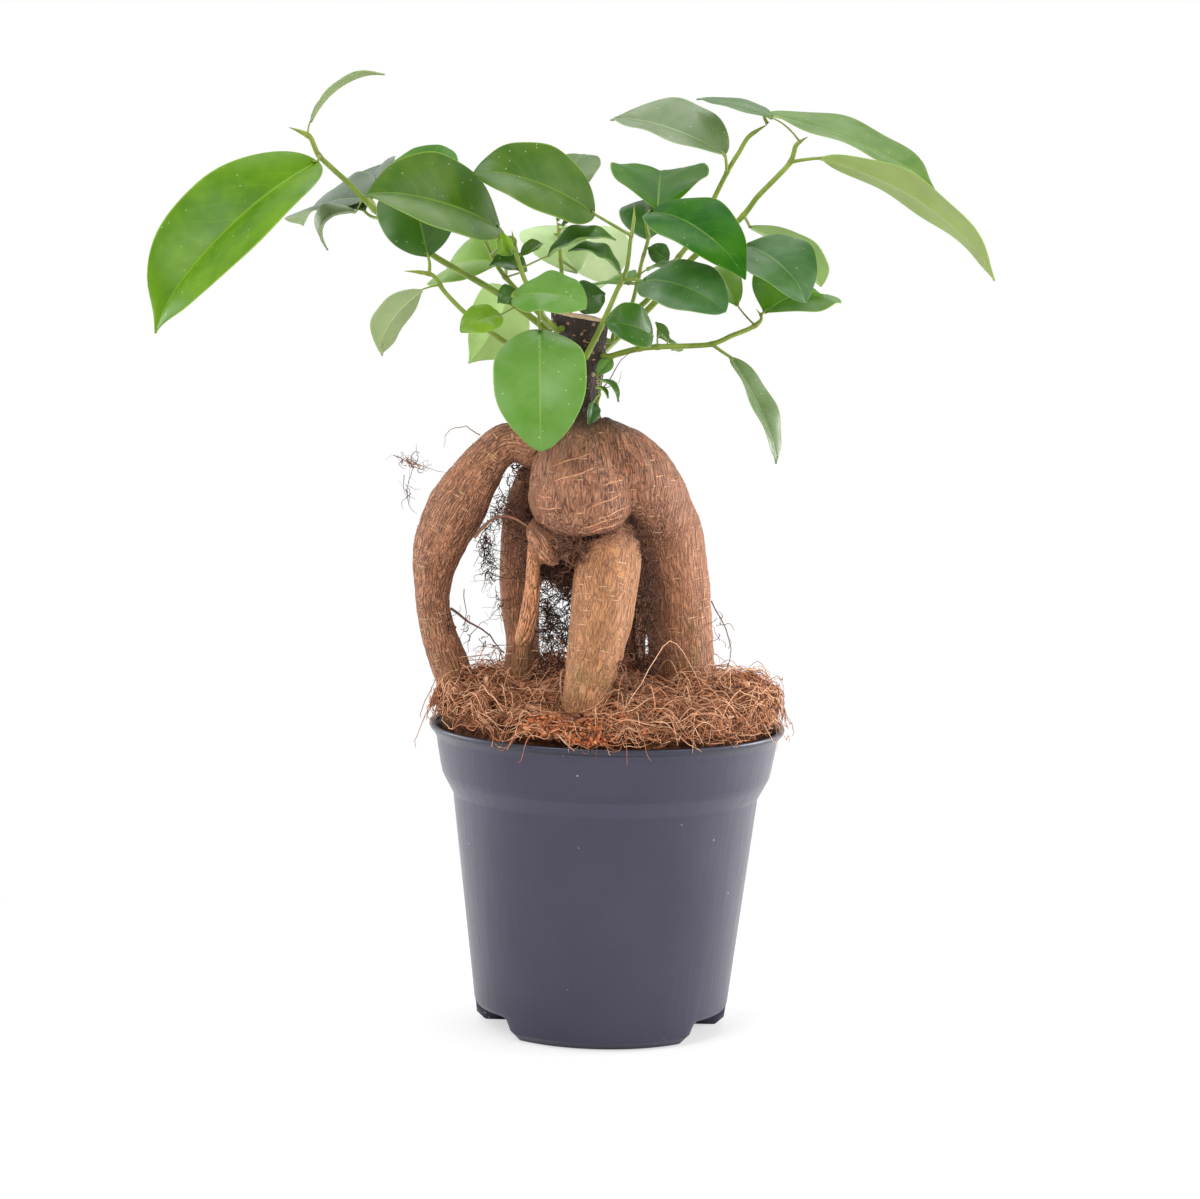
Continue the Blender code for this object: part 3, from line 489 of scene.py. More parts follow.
def quads_between(numbers, flip=False):
    """Quads between neighbours in grids of point numbers; the last two axes are a grid's."""
    a, b = numbers[..., :-1, :-1], numbers[..., :-1, 1:]
    c, d = numbers[..., 1:, 1:], numbers[..., 1:, :-1]
    return np.stack([a, d, c, b] if flip else [a, b, c, d], -1).reshape(-1, 4)


def read_vectors(items, field):
    """A vector from each of a mesh's items, as an array."""
    values = np.empty(len(items) * 3, dtype=np.float32)
    items.foreach_get(field, values)
    return values.reshape(-1, 3).astype(float)


def points_of(mesh):
    return read_vectors(mesh.vertices, "co")


def normals_of(mesh):
    return read_vectors(mesh.vertex_normals, "vector")


def set_points(mesh, points):
    mesh.vertices.foreach_set("co", points.astype(np.float32).ravel())
    mesh.update()


def set_values(mesh, name, values):
    """Stores a number or a vector at each point, for a material to read."""
    values = np.asarray(values, dtype=np.float32)
    kind, field = ("FLOAT_VECTOR", "vector") if values.ndim == 2 else ("FLOAT", "value")
    mesh.attributes.new(name, kind, "POINT").data.foreach_set(field, values.ravel())


def search_tree(mesh):
    """A search tree of a mesh's faces."""
    return BVHTree.FromPolygons([v.co for v in mesh.vertices], [p.vertices for p in mesh.polygons])


def turned(outline, steps):
    """An outline of (radius, height) turned about the upright axis, as (steps, points, 3)."""
    turns = np.arange(steps) * 2 * math.pi / steps
    x, y = (np.outer(share, outline[:, 0]) for share in (np.cos(turns), np.sin(turns)))
    return np.stack([x, y, np.tile(outline[:, 1], (steps, 1))], -1)


def turned_mesh(name, points, flip):
    """The mesh of a turned outline, whose first and last points are left open."""
    numbers = np.arange(points.shape[0] * points.shape[1]).reshape(points.shape[:2])
    return mesh_from_arrays(name, points, quads_between(np.concatenate([numbers, numbers[:1]]), flip))


def unit(vectors):
    return vectors / np.maximum(np.linalg.norm(vectors, axis=-1, keepdims=True), 1e-12)


def travelling_frames(paths):
    """Unit tangents and two unit normals that turn as little as they can, along (n, m, 3) paths."""
    tangents = unit(np.gradient(paths, axis=1))
    normals = np.empty_like(tangents)
    axis = np.eye(3)[np.argmin(np.abs(tangents[:, 0]), axis=-1)]
    normals[:, 0] = unit(np.cross(tangents[:, 0], axis))
    for row in range(1, paths.shape[1]):
        along, last = tangents[:, row], normals[:, row - 1]
        normals[:, row] = unit(last - along * np.sum(along * last, axis=-1, keepdims=True))
    return tangents, normals, np.cross(tangents, normals)


def tubes(name, paths, radii, sides, tones=None):
    """One mesh of many tubes: (n, m, 3) centres and (n, m) radii, all in metres."""
    _, normals, binormals = travelling_frames(paths)
    angles = np.arange(sides) * 2 * math.pi / sides
    ring = normals[:, :, None] * np.cos(angles)[:, None] + binormals[:, :, None] * np.sin(angles)[:, None]
    points = paths[:, :, None] + ring * radii[:, :, None, None]
    numbers = np.arange(radii.size * sides).reshape(*radii.shape, sides)
    mesh = mesh_from_arrays(name, points, quads_between(np.concatenate([numbers, numbers[..., :1]], -1)))
    if tones is not None:
        set_values(mesh, "tone", np.repeat(np.broadcast_to(tones, radii.shape), sides))
    return mesh


def catmull_rom(a, b, c, d, t):
    square = 2 * a - 5 * b + 4 * c - d
    cube = 3 * b - a - 3 * c + d
    return 0.5 * (2 * b + (c - a) * t + square * t**2 + cube * t**3)


def spline_points(points, per_span):
    """Points of a Catmull-Rom curve through the given points, each a tuple of any length."""
    vectors = [tuple(map(float, p)) for p in points]
    padded = [vectors[0]] + vectors + [vectors[-1]]
    result = []
    for index in range(len(vectors) - 1):
        ends = padded[index : index + 4]
        for step in range(per_span):
            result.append(tuple(catmull_rom(*values, step / per_span) for values in zip(*ends)))
    return result + [vectors[-1]]


def resample(points, count):
    """The same path as an array of evenly spaced points with the same columns."""
    points = np.asarray(points, dtype=float)
    lengths = np.r_[0.0, np.cumsum(np.linalg.norm(np.diff(points[:, :3], axis=0), axis=1))]
    stations = np.linspace(0.0, lengths[-1], count)
    return np.stack([np.interp(stations, lengths, column) for column in points.T], axis=1)


def curls(rng, starts, heading, rows, step, turn):
    """Curly (n, m, 3) paths that set off from their starts and keep turning."""
    direction = unit(heading + rng.normal(0, 0.6, starts.shape))
    bend = rng.normal(0, turn, starts.shape)
    points = [starts]
    for _ in range(rows - 1):
        bend = 0.6 * bend + rng.normal(0, turn, starts.shape)
        direction = unit(direction + bend)
        points.append(points[-1] + direction * step)
    return np.stack(points, axis=1)


def smooth_step(value):
    value = np.clip(value, 0.0, 1.0)
    return value * value * (3 - 2 * value)


# Materials


def rgba(colour):
    return (*tuple(colour)[:3], 1.0)


def toned(colour, level, more=(0.0, 0.0, 0.0)):
    """The colour made brighter or darker, with some more of each part, up to white."""
    return tuple(min(1.0, level * part + extra) for part, extra in zip(colour, more))


def add_node(tree, kind, inputs=None, **settings):
    """A new node whose inputs are set, or linked where a socket is given."""
    node = tree.nodes.new("ShaderNode" + kind)
    for key, value in settings.items():
        setattr(node, key, value)
    for key, value in (inputs or {}).items():
        if isinstance(value, bpy.types.NodeSocket):
            tree.links.new(value, node.inputs[key])
        else:
            node.inputs[key].default_value = value
    return node


class Finish:
    """One procedural material, whose tone is laid on in layers. Sizes are in metres."""

    def __init__(self, name, roughness, specular, colour):
        self.material = bpy.data.materials.new(name)
        self.material.use_nodes = True
        self.tree = self.material.node_tree
        self.shader = self.tree.nodes["Principled BSDF"]
        self.shader.inputs["Roughness"].default_value = roughness
        self.shader.inputs["Specular IOR Level"].default_value = specular
        self.place = self.add("TexCoord").outputs["Object"]
        self.tone = colour

    def add(self, kind, inputs=None, **settings):
        return add_node(self.tree, kind, inputs, **settings)

    def attribute(self, name, output="Fac"):
        return self.add("Attribute", attribute_name=name).outputs[output]

    def parts(self, vector):
        return self.add("SeparateXYZ", {0: vector}).outputs

    def texture(self, kind, vector, size, **inputs):
        """A texture whose features have one size, or three sizes across, across and along."""
        if isinstance(size, tuple):
            scale = tuple(1.0 / part for part in size)
            vector = self.add("Mapping", {"Vector": vector, "Scale": scale}).outputs["Vector"]
            size = 1.0
        return self.add(kind, {"Vector": vector, "Scale": 1.0 / size} | inputs).outputs

    def clouds(self, vector, size, detail, roughness=0.55, distortion=0.0):
        settings = {"Detail": detail, "Roughness": roughness, "Distortion": distortion}
        return self.texture("TexNoise", vector, size, **settings)["Fac"]

    def cells(self, vector, size):
        return self.texture("TexVoronoi", vector, size)["Distance"]

    def off_middle(self, vector, size):
        """How far clouds are from their middle: 0 along thin winding lines."""
        cloud = self.clouds(vector, size, 2.0, 0.5)
        return self.maths("ABSOLUTE", self.maths("SUBTRACT", cloud, 0.5))

    def warped(self, vector, size, amount):
        """The vector moved about by clouds of the given size."""
        cloud = self.texture("TexNoise", vector, size, Detail=1.0)["Color"]
        inputs = {0: cloud, 1: (amount, amount, amount), 2: vector}
        return self.add("VectorMath", inputs, operation="MULTIPLY_ADD").outputs["Vector"]

    def maths(self, operation, a, b=0.0, c=0.0):
        return self.add("Math", {0: a, 1: b, 2: c}, operation=operation).outputs[0]

    def times(self, first, *rest):
        for value in rest:
            first = self.maths("MULTIPLY", first, value)
        return first

    def most(self, first, second):
        return self.maths("MAXIMUM", first, second)

    def plus(self, value, share, more):
        """The value with a share of another one added."""
        return self.maths("MULTIPLY_ADD", more, share, value)

    def between(self, value, low, high, first=0.0, last=1.0):
        """Value's place between low and high, clamped, as a number from first to last."""
        settings = {"Value": value, "From Min": low, "From Max": high, "To Min": first, "To Max": last}
        return self.add("MapRange", settings).outputs["Result"]

    def patches(self, size, detail, low, high, first=0.0, last=1.0, vector=None):
        """Soft patches of clouds, from first outside them to last inside."""
        cloud = self.clouds(self.place if vector is None else vector, size, detail)
        return self.between(cloud, low, high, first, last)

    def spots(self, vector, size, low, high, share=1.0):
        """A spot in each cell, from the share in its middle to 0."""
        return self.between(self.cells(vector, size), low, high, share, 0.0)

    def mix(self, share, first, second):
        inputs = {0: share, 6: first, 7: second}
        for key in (6, 7):
            if not isinstance(inputs[key], bpy.types.NodeSocket):
                inputs[key] = rgba(inputs[key])
        return self.add("Mix", inputs, data_type="RGBA").outputs[2]

    def lay(self, share, colour, strength=1.0):
        """Lays a colour over the tone by a share of the given strength."""
        if strength < 1.0:
            share = self.times(share, strength)
        self.tone = self.mix(share, self.tone, colour)

    def done(self, height=None, depth=0.0, strength=1.0, roughness=None):
        """The material with its tone, its relief and its roughness linked."""
        links = {"Base Color": self.tone, "Roughness": roughness}
        if height is not None:
            relief = {"Height": height, "Distance": depth, "Strength": strength}
            links["Normal"] = self.add("Bump", relief).outputs["Normal"]
        for name, socket in links.items():
            if socket is not None:
                self.tree.links.new(socket, self.shader.inputs[name])
        return self.material


def plastic_finish(colour):
    """Moulded recycled plastic: slate, with faint flow marks and scuffs, a painted highlight on the chamfered
    step and painted shade on the lip's band.
    """
    finish = Finish("pot_plastic", 0.36, 0.6, toned(colour, 0.84))
    finish.shader.inputs["Specular Tint"].default_value = (0.80, 0.75, 1.0, 1.0)
    place = finish.place
    cloud = finish.clouds(place, 0.03, 3.0)
    finish.lay(finish.between(cloud, 0.3, 0.7), toned(colour, 1.14))
    chosen = finish.patches(0.016, 1.0, 0.50, 0.55)
    finish.lay(finish.times(finish.spots(place, 0.0065, 0.025, 0.045), chosen), (0.50, 0.50, 0.52))
    height = finish.parts(place)["Z"]
    # Painted highlight: the chamfered step under the collar is lightened, standing in for light it reflects.
    step_low, step_top = (STEP_FOOT[1] - 0.5) * MM, (STEP_FOOT[1] + 0.7) * MM
    collar_low, collar_top = (COLLAR_FOOT[1] - 0.4) * MM, (COLLAR_FOOT[1] + 0.1) * MM
    under_collar = finish.between(height, collar_low, collar_top, 1.0, 0.0)
    step = finish.times(finish.between(height, step_low, step_top, 0.0, 0.4), under_collar)
    finish.lay(step, toned(colour, 1.9))
    # Painted shade: the rolled lip's band, whose outer face looks down, is laid near-black, as if shaded.
    lip = (POT_HEIGHT - LIP_DROP) * MM
    finish.lay(finish.between(height, lip - 0.5 * MM, lip, 0.0, 0.85), (0.008, 0.013, 0.015))
    scuffs = finish.patches((0.0012, 0.0012, 0.009), 4.0, 0.55, 0.8, 0.0, 0.12)
    rough = finish.maths("ADD", finish.between(cloud, 0.2, 0.8, 0.30, 0.40), scuffs)
    flow = finish.times(finish.clouds(place, (0.0045, 0.0045, 0.06), 2.0), 1.5)
    relief = finish.plus(flow, 0.15, finish.clouds(place, 0.0006, 2.0))
    return finish.done(relief, 0.0002, 0.5, rough)


# Cells that hold one dash each: across, across, along, in metres. The last two are for rich bark.
DASH_CELLS = (
    (0.0135, 0.0135, 0.0017), (0.0105, 0.0105, 0.0014), (0.0190, 0.0190, 0.0019), (0.0165, 0.0165, 0.0016),
)


def bark_finish(settings):
    """Brown bark with long wavy cracks along each root and raised pale dashes across it; its creases have
    painted shade and its lit roots painted light.
    """
    finish = Finish("bark", 0.64, 0.35, settings.bark)
    place = finish.place
    zones = finish.parts(finish.attribute("bark_zones", "Vector"))
    tints = finish.parts(finish.attribute("bark_tints_and_shade", "Vector"))
    neck, low, bright = zones["X"], zones["Y"], zones["Z"]
    crease, leg, stub = tints["X"], tints["Y"], tints["Z"]
    rich = finish.most(leg, bright)
    along = finish.warped(finish.attribute("bark_space", "Vector"), 0.008, 0.0016)
    away = finish.off_middle(along, (0.0013, 0.0013, 0.0078))
    fine_away = finish.off_middle(along, (0.0009, 0.0009, 0.0044))
    cracks = finish.times(
        finish.between(away, 0.006, 0.038, 1.0, 0.0),
        finish.patches((0.005, 0.005, 0.012), 1.0, 0.35, 0.51, vector=along),
        finish.between(rich, 0.0, 1.0, 1.0, 0.5),
    )
    fine_cracks = finish.between(fine_away, 0.006, 0.045, 1.0, 0.0)
    ridges = finish.between(away, 0.05, 0.17)

    finish.lay(finish.patches(0.013, 3.0, 0.36, 0.64), settings.bark_pale)
    finish.lay(finish.patches(0.0047, 3.0, 0.50, 0.72, 0.0, 0.55), settings.bark_red)
    # Painted light: the right, second and left roots are painted lighter, standing in for the light on them.
    finish.lay(bright, settings.bright, 0.75)
    finish.lay(leg, settings.leg, 0.85)
    # The stub and knot are reddish; the stub is also painted lighter, standing in for the light on it.
    finish.lay(stub, settings.stub, 0.9)
    finish.lay(ridges, settings.ridge, 0.60)
    finish.lay(finish.times(low, finish.patches(0.008, 3.0, 0.46, 0.64)), settings.bark_green, 0.4)
    finish.lay(fine_cracks, settings.bark_dark, 0.48)
    finish.lay(cracks, settings.bark_dark, 0.86)
    finish.lay(neck, settings.neck)
    spots = finish.spots(finish.warped(place, 0.003, 0.002), 0.0028, 0.16, 0.26)
    spots = finish.times(spots, neck, finish.patches(0.006, 1.0, 0.40, 0.48))
    finish.lay(spots, settings.cut, 0.85)

    dashes = [finish.spots(along, size, 0.09, 0.15) for size in DASH_CELLS]
    more = finish.times(finish.most(*dashes[2:]), rich)
    dash = finish.most(finish.most(*dashes[:2]), more)
    dash = finish.times(dash, finish.patches(0.012, 1.0, 0.32, 0.38))
    finish.lay(dash, settings.dash, 0.85)
    # Painted shade: the bark is darkened where the mesh lies in creases and hollows, as if shade fell there.
    finish.lay(finish.between(crease, 0.15, 0.75, 0.0, 0.92), toned(settings.bark_dark, 0.6))

    height = finish.plus(ridges, -1.0, cracks)
    height = finish.plus(height, -0.4, fine_cracks)
    height = finish.plus(height, 0.8, dash)
    height = finish.plus(height, 0.3, finish.clouds(place, 0.0016, 3.0))
    height = finish.plus(height, 0.8, spots)
    return finish.done(height, 0.0008, 0.9)


def cut_finish(colour):
    """Weathered wood where the old stem was sawn off."""
    finish = Finish("cut_wood", 0.8, 0.2, toned(colour, 0.55))
    grain = finish.clouds(finish.place, (0.0016, 0.0016, 0.01), 4.0)
    finish.lay(finish.between(grain, 0.38, 0.62), colour)
    return finish.done(grain, 0.0006, 0.8)


def fibre_finish(name, dark, middle, pale):
    """Plant fibre whose tone runs from dark to pale with each strand's own number."""
    finish = Finish(name, 0.8, 0.25, dark)
    tone = finish.maths("ADD", finish.attribute("tone"), finish.patches(0.0018, 3.0, 0.3, 0.7, -0.16, 0.16))
    finish.lay(finish.between(tone, 0.0, 0.5), middle)
    finish.lay(finish.between(tone, 0.5, 1.0), pale)
    return finish.done(finish.clouds(finish.place, 0.0004, 3.0), 0.0001, 0.6)


def crumb_finish(colour, dark):
    """Ground coir: shreds and crumbs, with painted shade in the gaps between them."""
    finish = Finish("coir_crumbs", 0.92, 0.12, dark)
    crumb = finish.clouds(finish.place, 0.0016, 5.0, 0.7, 1.2)
    finish.lay(finish.patches(0.006, 4.0, 0.40, 0.68), colour)
    # Painted shade: near-black where the crumbs' relief is low, standing in for shade in the gaps.
    finish.lay(finish.between(crumb, 0.36, 0.56, 1.0, 0.0), toned(dark, 0.35))
    return finish.done(crumb, 0.0012, 1.0)


def shoot_finish(settings):
    """Green shoot skin that browns at its joints, with pale flecks."""
    finish = Finish("shoot_skin", 0.42, 0.45, settings.shoot)
    brown = finish.maths("ADD", finish.attribute("tone"), finish.patches(0.0035, 3.0, 0.3, 0.75, -0.25, 0.25))
    finish.lay(finish.patches(0.006, 2.0, 0.35, 0.65), settings.shoot_pale)
    finish.lay(finish.between(brown, 0.22, 0.75), settings.shoot_brown)
    flecks = finish.spots(finish.place, (0.0016, 0.0016, 0.0026), 0.06, 0.14, 0.35)
    finish.lay(flecks, toned(settings.shoot_pale, 1.7))
    return finish.done(finish.clouds(finish.place, 0.0016, 1.0), 0.0002, 0.3)


def leaf_veins(finish):
    """The midrib, side veins and rim of the blade in its own coordinates, each from 0 to 1."""
    uv = finish.parts(finish.add("UVMap", uv_map="blade").outputs["UV"])
    across = finish.maths("MULTIPLY_ADD", uv["X"], 2.0, -1.0)
    away = finish.maths("ABSOLUTE", across)
    taper = finish.between(uv["Y"], 0.0, 1.0, 0.026, 0.006)
    midrib = finish.between(finish.maths("SUBTRACT", away, taper), 0.0, 0.018, 1.0, 0.0)
    stagger = finish.times(finish.maths("SIGN", across), 0.22)
    wobble = finish.patches(0.010, 1.0, 0.3, 0.7, -0.02, 0.02)
    slant = finish.maths("SUBTRACT", uv["Y"], finish.times(finish.maths("POWER", away, 1.3), 0.30))
    phase = finish.plus(stagger, VEIN_PAIRS, finish.maths("ADD", slant, wobble))
    wave = finish.maths("SINE", finish.times(phase, 2 * math.pi))
    veins = finish.times(finish.between(wave, 0.93, 1.0), finish.between(away, 0.45, 0.9, 1.0, 0.0))
    return midrib, veins, finish.between(away, 0.965, 0.99)


def lay_veins(finish, colour, shares):
    """Lays the side veins, the midrib and the rim on a leaf, each by its share."""
    midrib, veins, rim = leaf_veins(finish)
    for part, share in zip((veins, midrib, rim), shares):
        finish.lay(part, colour, share)


def leaf_finish(name, colour, lit, reflects, gloss):
    """The upper face: glossy, with painted lit patches, a pale midrib, faint side veins and a thin pale rim.
    """
    finish = Finish(f"leaf_{name}", gloss, reflects, colour)
    # Painted light: patches of the lit colour, large and small, stand in for pools of light on the upper
    # face.
    finish.lay(finish.patches(0.014, 2.0, 0.34, 0.66), lit)
    finish.lay(finish.patches(0.0035, 2.0, 0.48, 0.68, 0.0, 0.22), lit)
    pale = toned(lit, 0.8, (0.13, 0.17, 0.03))
    lay_veins(finish, pale, (0.12, 0.45, 0.85))
    finish.lay(finish.spots(finish.place, 0.0034, 0.05, 0.09, 0.6), toned(pale, 1.0, (0.25, 0.25, 0.25)))
    return finish.done(roughness=finish.patches(0.009, 1.0, 0.3, 0.7, gloss - 0.04, gloss + 0.08))


def leaf_back_finish(name, colour):
    """The underside: pale and matt, with the veins standing out."""
    finish = Finish(f"leaf_back_{name}", 0.55, 0.2, colour)
    finish.lay(finish.patches(0.012, 2.0, 0.35, 0.65), toned(colour, 1.15))
    lay_veins(finish, toned(colour, 1.0, (0.14, 0.14, 0.08)), (0.2, 0.8, 0.6))
    return finish.done()


# Stage

# Lamps in metres: name, place, size, and power as a share of the key lamp's.
LAMPS = (
    ("key", (-0.55, -0.95, 1.05), 0.7, 1.0),
    ("fill", (0.9, -0.6, 0.5), 0.8, 0.40),
    ("top", (0.0, 0.35, 1.30), 0.9, 0.65),
    ("edge", (-1.0, 0.30, 0.20), 0.6, 0.62),
    ("edge", (1.0, 0.30, 0.20), 0.6, 1.22),
)

# Camera: place in metres, and how far it looks down and leans in radians. Floor in metres.
CAMERA_PLACE = (0.0, -1.2, 0.2778)
CAMERA_DIP = 0.1101
CAMERA_ROLL = 0.0232
CAMERA_LENS = 107.64
CAMERA_SHIFT = -0.00828
FLOOR_SIZE = 3.0
FLOOR_DROP = 0.0002


class FicusStageSettings(PropertyGroup):
    floor: colour_value("Floor", "Colour of the pale floor", 0.90, 0.90, 0.90)
    soft_light: FloatProperty(
        name="Soft light", description="Strength of the even light from all round", default=0.66, min=0,
    )
    key_light: FloatProperty(
        name="Key light", description="Power of the large lamp in front", default=11.0, min=0, unit="POWER",
    )


def white_world(strength):
    """Even light all round, with a white background behind the plant, in gloss and through glass."""
    world = bpy.data.worlds.new("studio")
    world.use_nodes = True
    tree = world.node_tree
    background = tree.nodes["Background"]
    background.inputs["Color"].default_value = rgba((1.0, 1.0, 1.0))
    rays = add_node(tree, "LightPath").outputs
    seen = rays["Is Camera Ray"]
    for name in ("Is Glossy Ray", "Is Transmission Ray"):
        seen = add_node(tree, "Math", {0: seen, 1: rays[name]}, operation="MAXIMUM").outputs[0]
    level = add_node(tree, "MapRange", {"Value": seen, "To Min": strength, "To Max": 1.0})
    tree.links.new(level.outputs["Result"], background.inputs["Strength"])
    return world


def floor_finish(colour):
    """Pale board that fades to white away from the pot, and keeps the pot's soft shadow."""
    finish = Finish("floor", 0.85, 0.1, toned(colour, 0.985))
    finish.lay(finish.patches(0.004, 3.0, 0.3, 0.7), colour)
    finish.done()
    white = finish.add("Emission", {"Color": rgba((1, 1, 1)), "Strength": 1.0})
    seen = finish.add("LightPath").outputs["Is Camera Ray"]
    reach = finish.add("VectorMath", {0: finish.place}, operation="LENGTH").outputs["Value"]
    share = finish.times(seen, finish.between(reach, 0.06, 0.30, 0.55, 1.0))
    blend = finish.add("MixShader", {0: share, 1: finish.shader.outputs[0], 2: white.outputs[0]})
    output = finish.tree.nodes["Material Output"]
    finish.tree.links.new(blend.outputs[0], output.inputs["Surface"])
    return finish.material


def area_lamp(name, place, size, power):
    """A square soft lamp that faces the middle of the plant."""
    data = bpy.data.lights.new(name, "AREA")
    data.shape = "SQUARE"
    data.size = size
    data.energy = power
    lamp = add_object(name, data)
    lamp.location = place
    target = Vector((0, 0, 0.5 * TRUNK_TOP))
    lamp.rotation_euler = (target - lamp.location).to_track_quat("-Z", "Y").to_euler()


class FICUS_OT_stage(Operator):
    """Adds the floor, the white surroundings, the soft lamps and the camera"""

    bl_idname = "ficus.stage"
    bl_label = "Stage"

    def execute(self, context):
        scene = context.scene
        settings = scene.ficus_stage
        scene.world = white_world(settings.soft_light)
        scene.view_settings.view_transform = "Standard"

        mesh = bpy.data.meshes.new("floor")
        with edited(mesh) as bm:
            bmesh.ops.create_grid(bm, x_segments=8, y_segments=8, size=FLOOR_SIZE)
        floor = add_object("floor", mesh, floor_finish(settings.floor))
        floor.location.z = SOLIDS_BOX[0].z - FLOOR_DROP

        for name, place, size, share in LAMPS:
            area_lamp(name, place, size, share * settings.key_light)

        data = bpy.data.cameras.new("camera")
        data.sensor_width = 36.0
        data.sensor_fit = "HORIZONTAL"
        data.lens = CAMERA_LENS
        data.shift_x = CAMERA_SHIFT
        camera = add_object("camera", data)
        dip = Matrix.Rotation(math.pi / 2 - CAMERA_DIP, 4, "X")
        roll = Matrix.Rotation(CAMERA_ROLL, 4, "Z")
        camera.matrix_world = Matrix.Translation(CAMERA_PLACE) @ dip @ roll
        scene.camera = camera
        return {"FINISHED"}


# Pot


class FicusPotSettings(PropertyGroup):
    colour: colour_value("Plastic", "Colour of the pot's plastic", 0.026, 0.024, 0.039)
    wall: length_value("Wall", "Thickness of the pot's wall", 1.2, 0.5)
    steps: IntProperty(name="Steps", description="Sides of the pot's round outline", default=144, min=48)


def round_corners(points, size, count=4):
    """The outline with each inner corner replaced by a short curve of the given reach."""
    result = [points[0]]
    for before, corner, after in zip(points, points[1:], points[2:]):
        corner = Vector(corner)
        into, out = Vector(before) - corner, Vector(after) - corner
        start = corner + into.normalized() * min(size, 0.45 * into.length)
        end = corner + out.normalized() * min(size, 0.45 * out.length)
        for step in range(count + 1):
            t = step / count
            result.append(tuple(start * (1 - t) ** 2 + corner * 2 * t * (1 - t) + end * t**2))
    return result + [points[-1]]


def divided(points, longest):
    """The outline with its long spans divided, so that the foot can be shaped."""
    result = [points[0]]
    for first, second in zip(points, points[1:]):
        first, second = Vector(first), Vector(second)
        at_foot = min(first.y, second.y) < 10 and max(first.x, second.x) > 25
        count = max(1, math.ceil((second - first).length / (longest if at_foot else 30.0)))
        result += [tuple(first.lerp(second, (step + 1) / count)) for step in range(count)]
    return result


def pot_outline():
    """The pot's outer side as (radius, height), from the lip down to the middle of the base."""
    top = POT_HEIGHT
    lip = [
        (58.0, top - 0.5), (58.6, top), (59.7, top), (LIP_RADIUS, top - 0.8),
        (59.5, top - LIP_DROP + 0.4),
        (58.9, top - LIP_DROP), (COLLAR_RADIUS + 0.4, top - LIP_DROP - 2.2),
        (COLLAR_RADIUS, top - LIP_DROP - 5.0),
    ]
    wall = [
        (56.0, 89.6), (55.3, 86.4), COLLAR_FOOT, STEP_FOOT, (FLAT_RADIUS + BASE_ROUND + 1.1, 8.0),
        (FLAT_RADIUS + BASE_ROUND + 0.4, BASE_ROUND), (FLAT_RADIUS, 0.0),
    ]
    shape = round_corners(lip, 0.45, 3) + round_corners([lip[-1]] + wall + [(27.0, 0.0)], 0.35)[1:]
    return divided(shape + [(25.0, 0.0), (0.0, 0.0)], 1.8)


def pocket_lift(points):
    """How far the base is raised into the drain pockets at each point, in millimetres."""
    angle = np.degrees(np.arctan2(points[:, 1], points[:, 0]))
    reach = np.hypot(points[:, 0], points[:, 1]) / MM
    inward = smooth_step((reach - POCKET_INNER_RADIUS) / 2.4)
    lift = np.zeros(len(points))
    for middle in POCKET_ANGLES:
        away = np.abs((angle - middle + 180.0) % 360.0 - 180.0)
        side = smooth_step((POCKET_HALF_ANGLE + POCKET_FLARE - away) / POCKET_FLARE)
        lift = np.maximum(lift, POCKET_HEIGHT * side * inward)
    return lift


def slot_cutter(angle):
    """The rounded block that cuts one drain slot through a pocket's ceiling."""
    mesh = bpy.data.meshes.new("slot_cutter")
    with edited(mesh) as bm:
        bmesh.ops.create_cone(
            bm, cap_ends=True, segments=24, radius1=SLOT_RADIUS * MM, radius2=SLOT_RADIUS * MM,
            depth=SLOT_DEPTH * MM,
        )
        for vert in bm.verts:
            vert.co.y += math.copysign(SLOT_REACH * MM, vert.co.y)
        bmesh.ops.translate(bm, vec=metres((SLOT_PLACE, 0.0, POCKET_HEIGHT)), verts=bm.verts)
        bmesh.ops.rotate(bm, matrix=Matrix.Rotation(math.radians(angle), 3, "Z"), verts=bm.verts)
    return add_object("slot_cutter", mesh)


class FICUS_OT_pot(Operator):
    """Makes the moulded pot with its rolled lip, chamfered step and raised drain pockets"""

    bl_idname = "ficus.pot"
    bl_label = "Pot"

    def execute(self, context):
        settings = context.scene.ficus_pot
        outline = np.array(pot_outline()) * MM
        grid = turned(outline[:-1], settings.steps)
        points = grid.reshape(-1, 3)
        share = np.clip(1.0 - points[:, 2] / (POCKET_FADE * MM), 0.0, 1.0)
        points[:, 2] += pocket_lift(points) * share * MM
        mesh = turned_mesh("pot_shell", grid, False)
        with edited(mesh) as bm:
            base = [edge for edge in bm.edges if edge.is_boundary and edge.verts[0].co.z < 1 * MM]
            bmesh.ops.contextual_create(bm, geom=base)
            bmesh.ops.recalc_face_normals(bm, faces=bm.faces)
        pot = add_object("pot_shell", mesh, plastic_finish(settings.colour))
        shell = pot.modifiers.new("Wall", "SOLIDIFY")
        shell.thickness = settings.wall
        shell.offset = -1.0
        cutters = [slot_cutter(angle) for angle in POCKET_ANGLES]
        for cutter in cutters:
            cut = pot.modifiers.new("Slot", "BOOLEAN")
            cut.object = cutter
            cut.solver = "EXACT"
        apply_modifiers(pot)
        for cutter in cutters:
            bpy.data.objects.remove(cutter, do_unlink=True)
        pot.data.shade_smooth()
        pot.data.set_sharp_from_angle(angle=math.radians(50))
        dress(pot, "pot_plastic", "pot")
        return {"FINISHED"}


# Trunk and roots


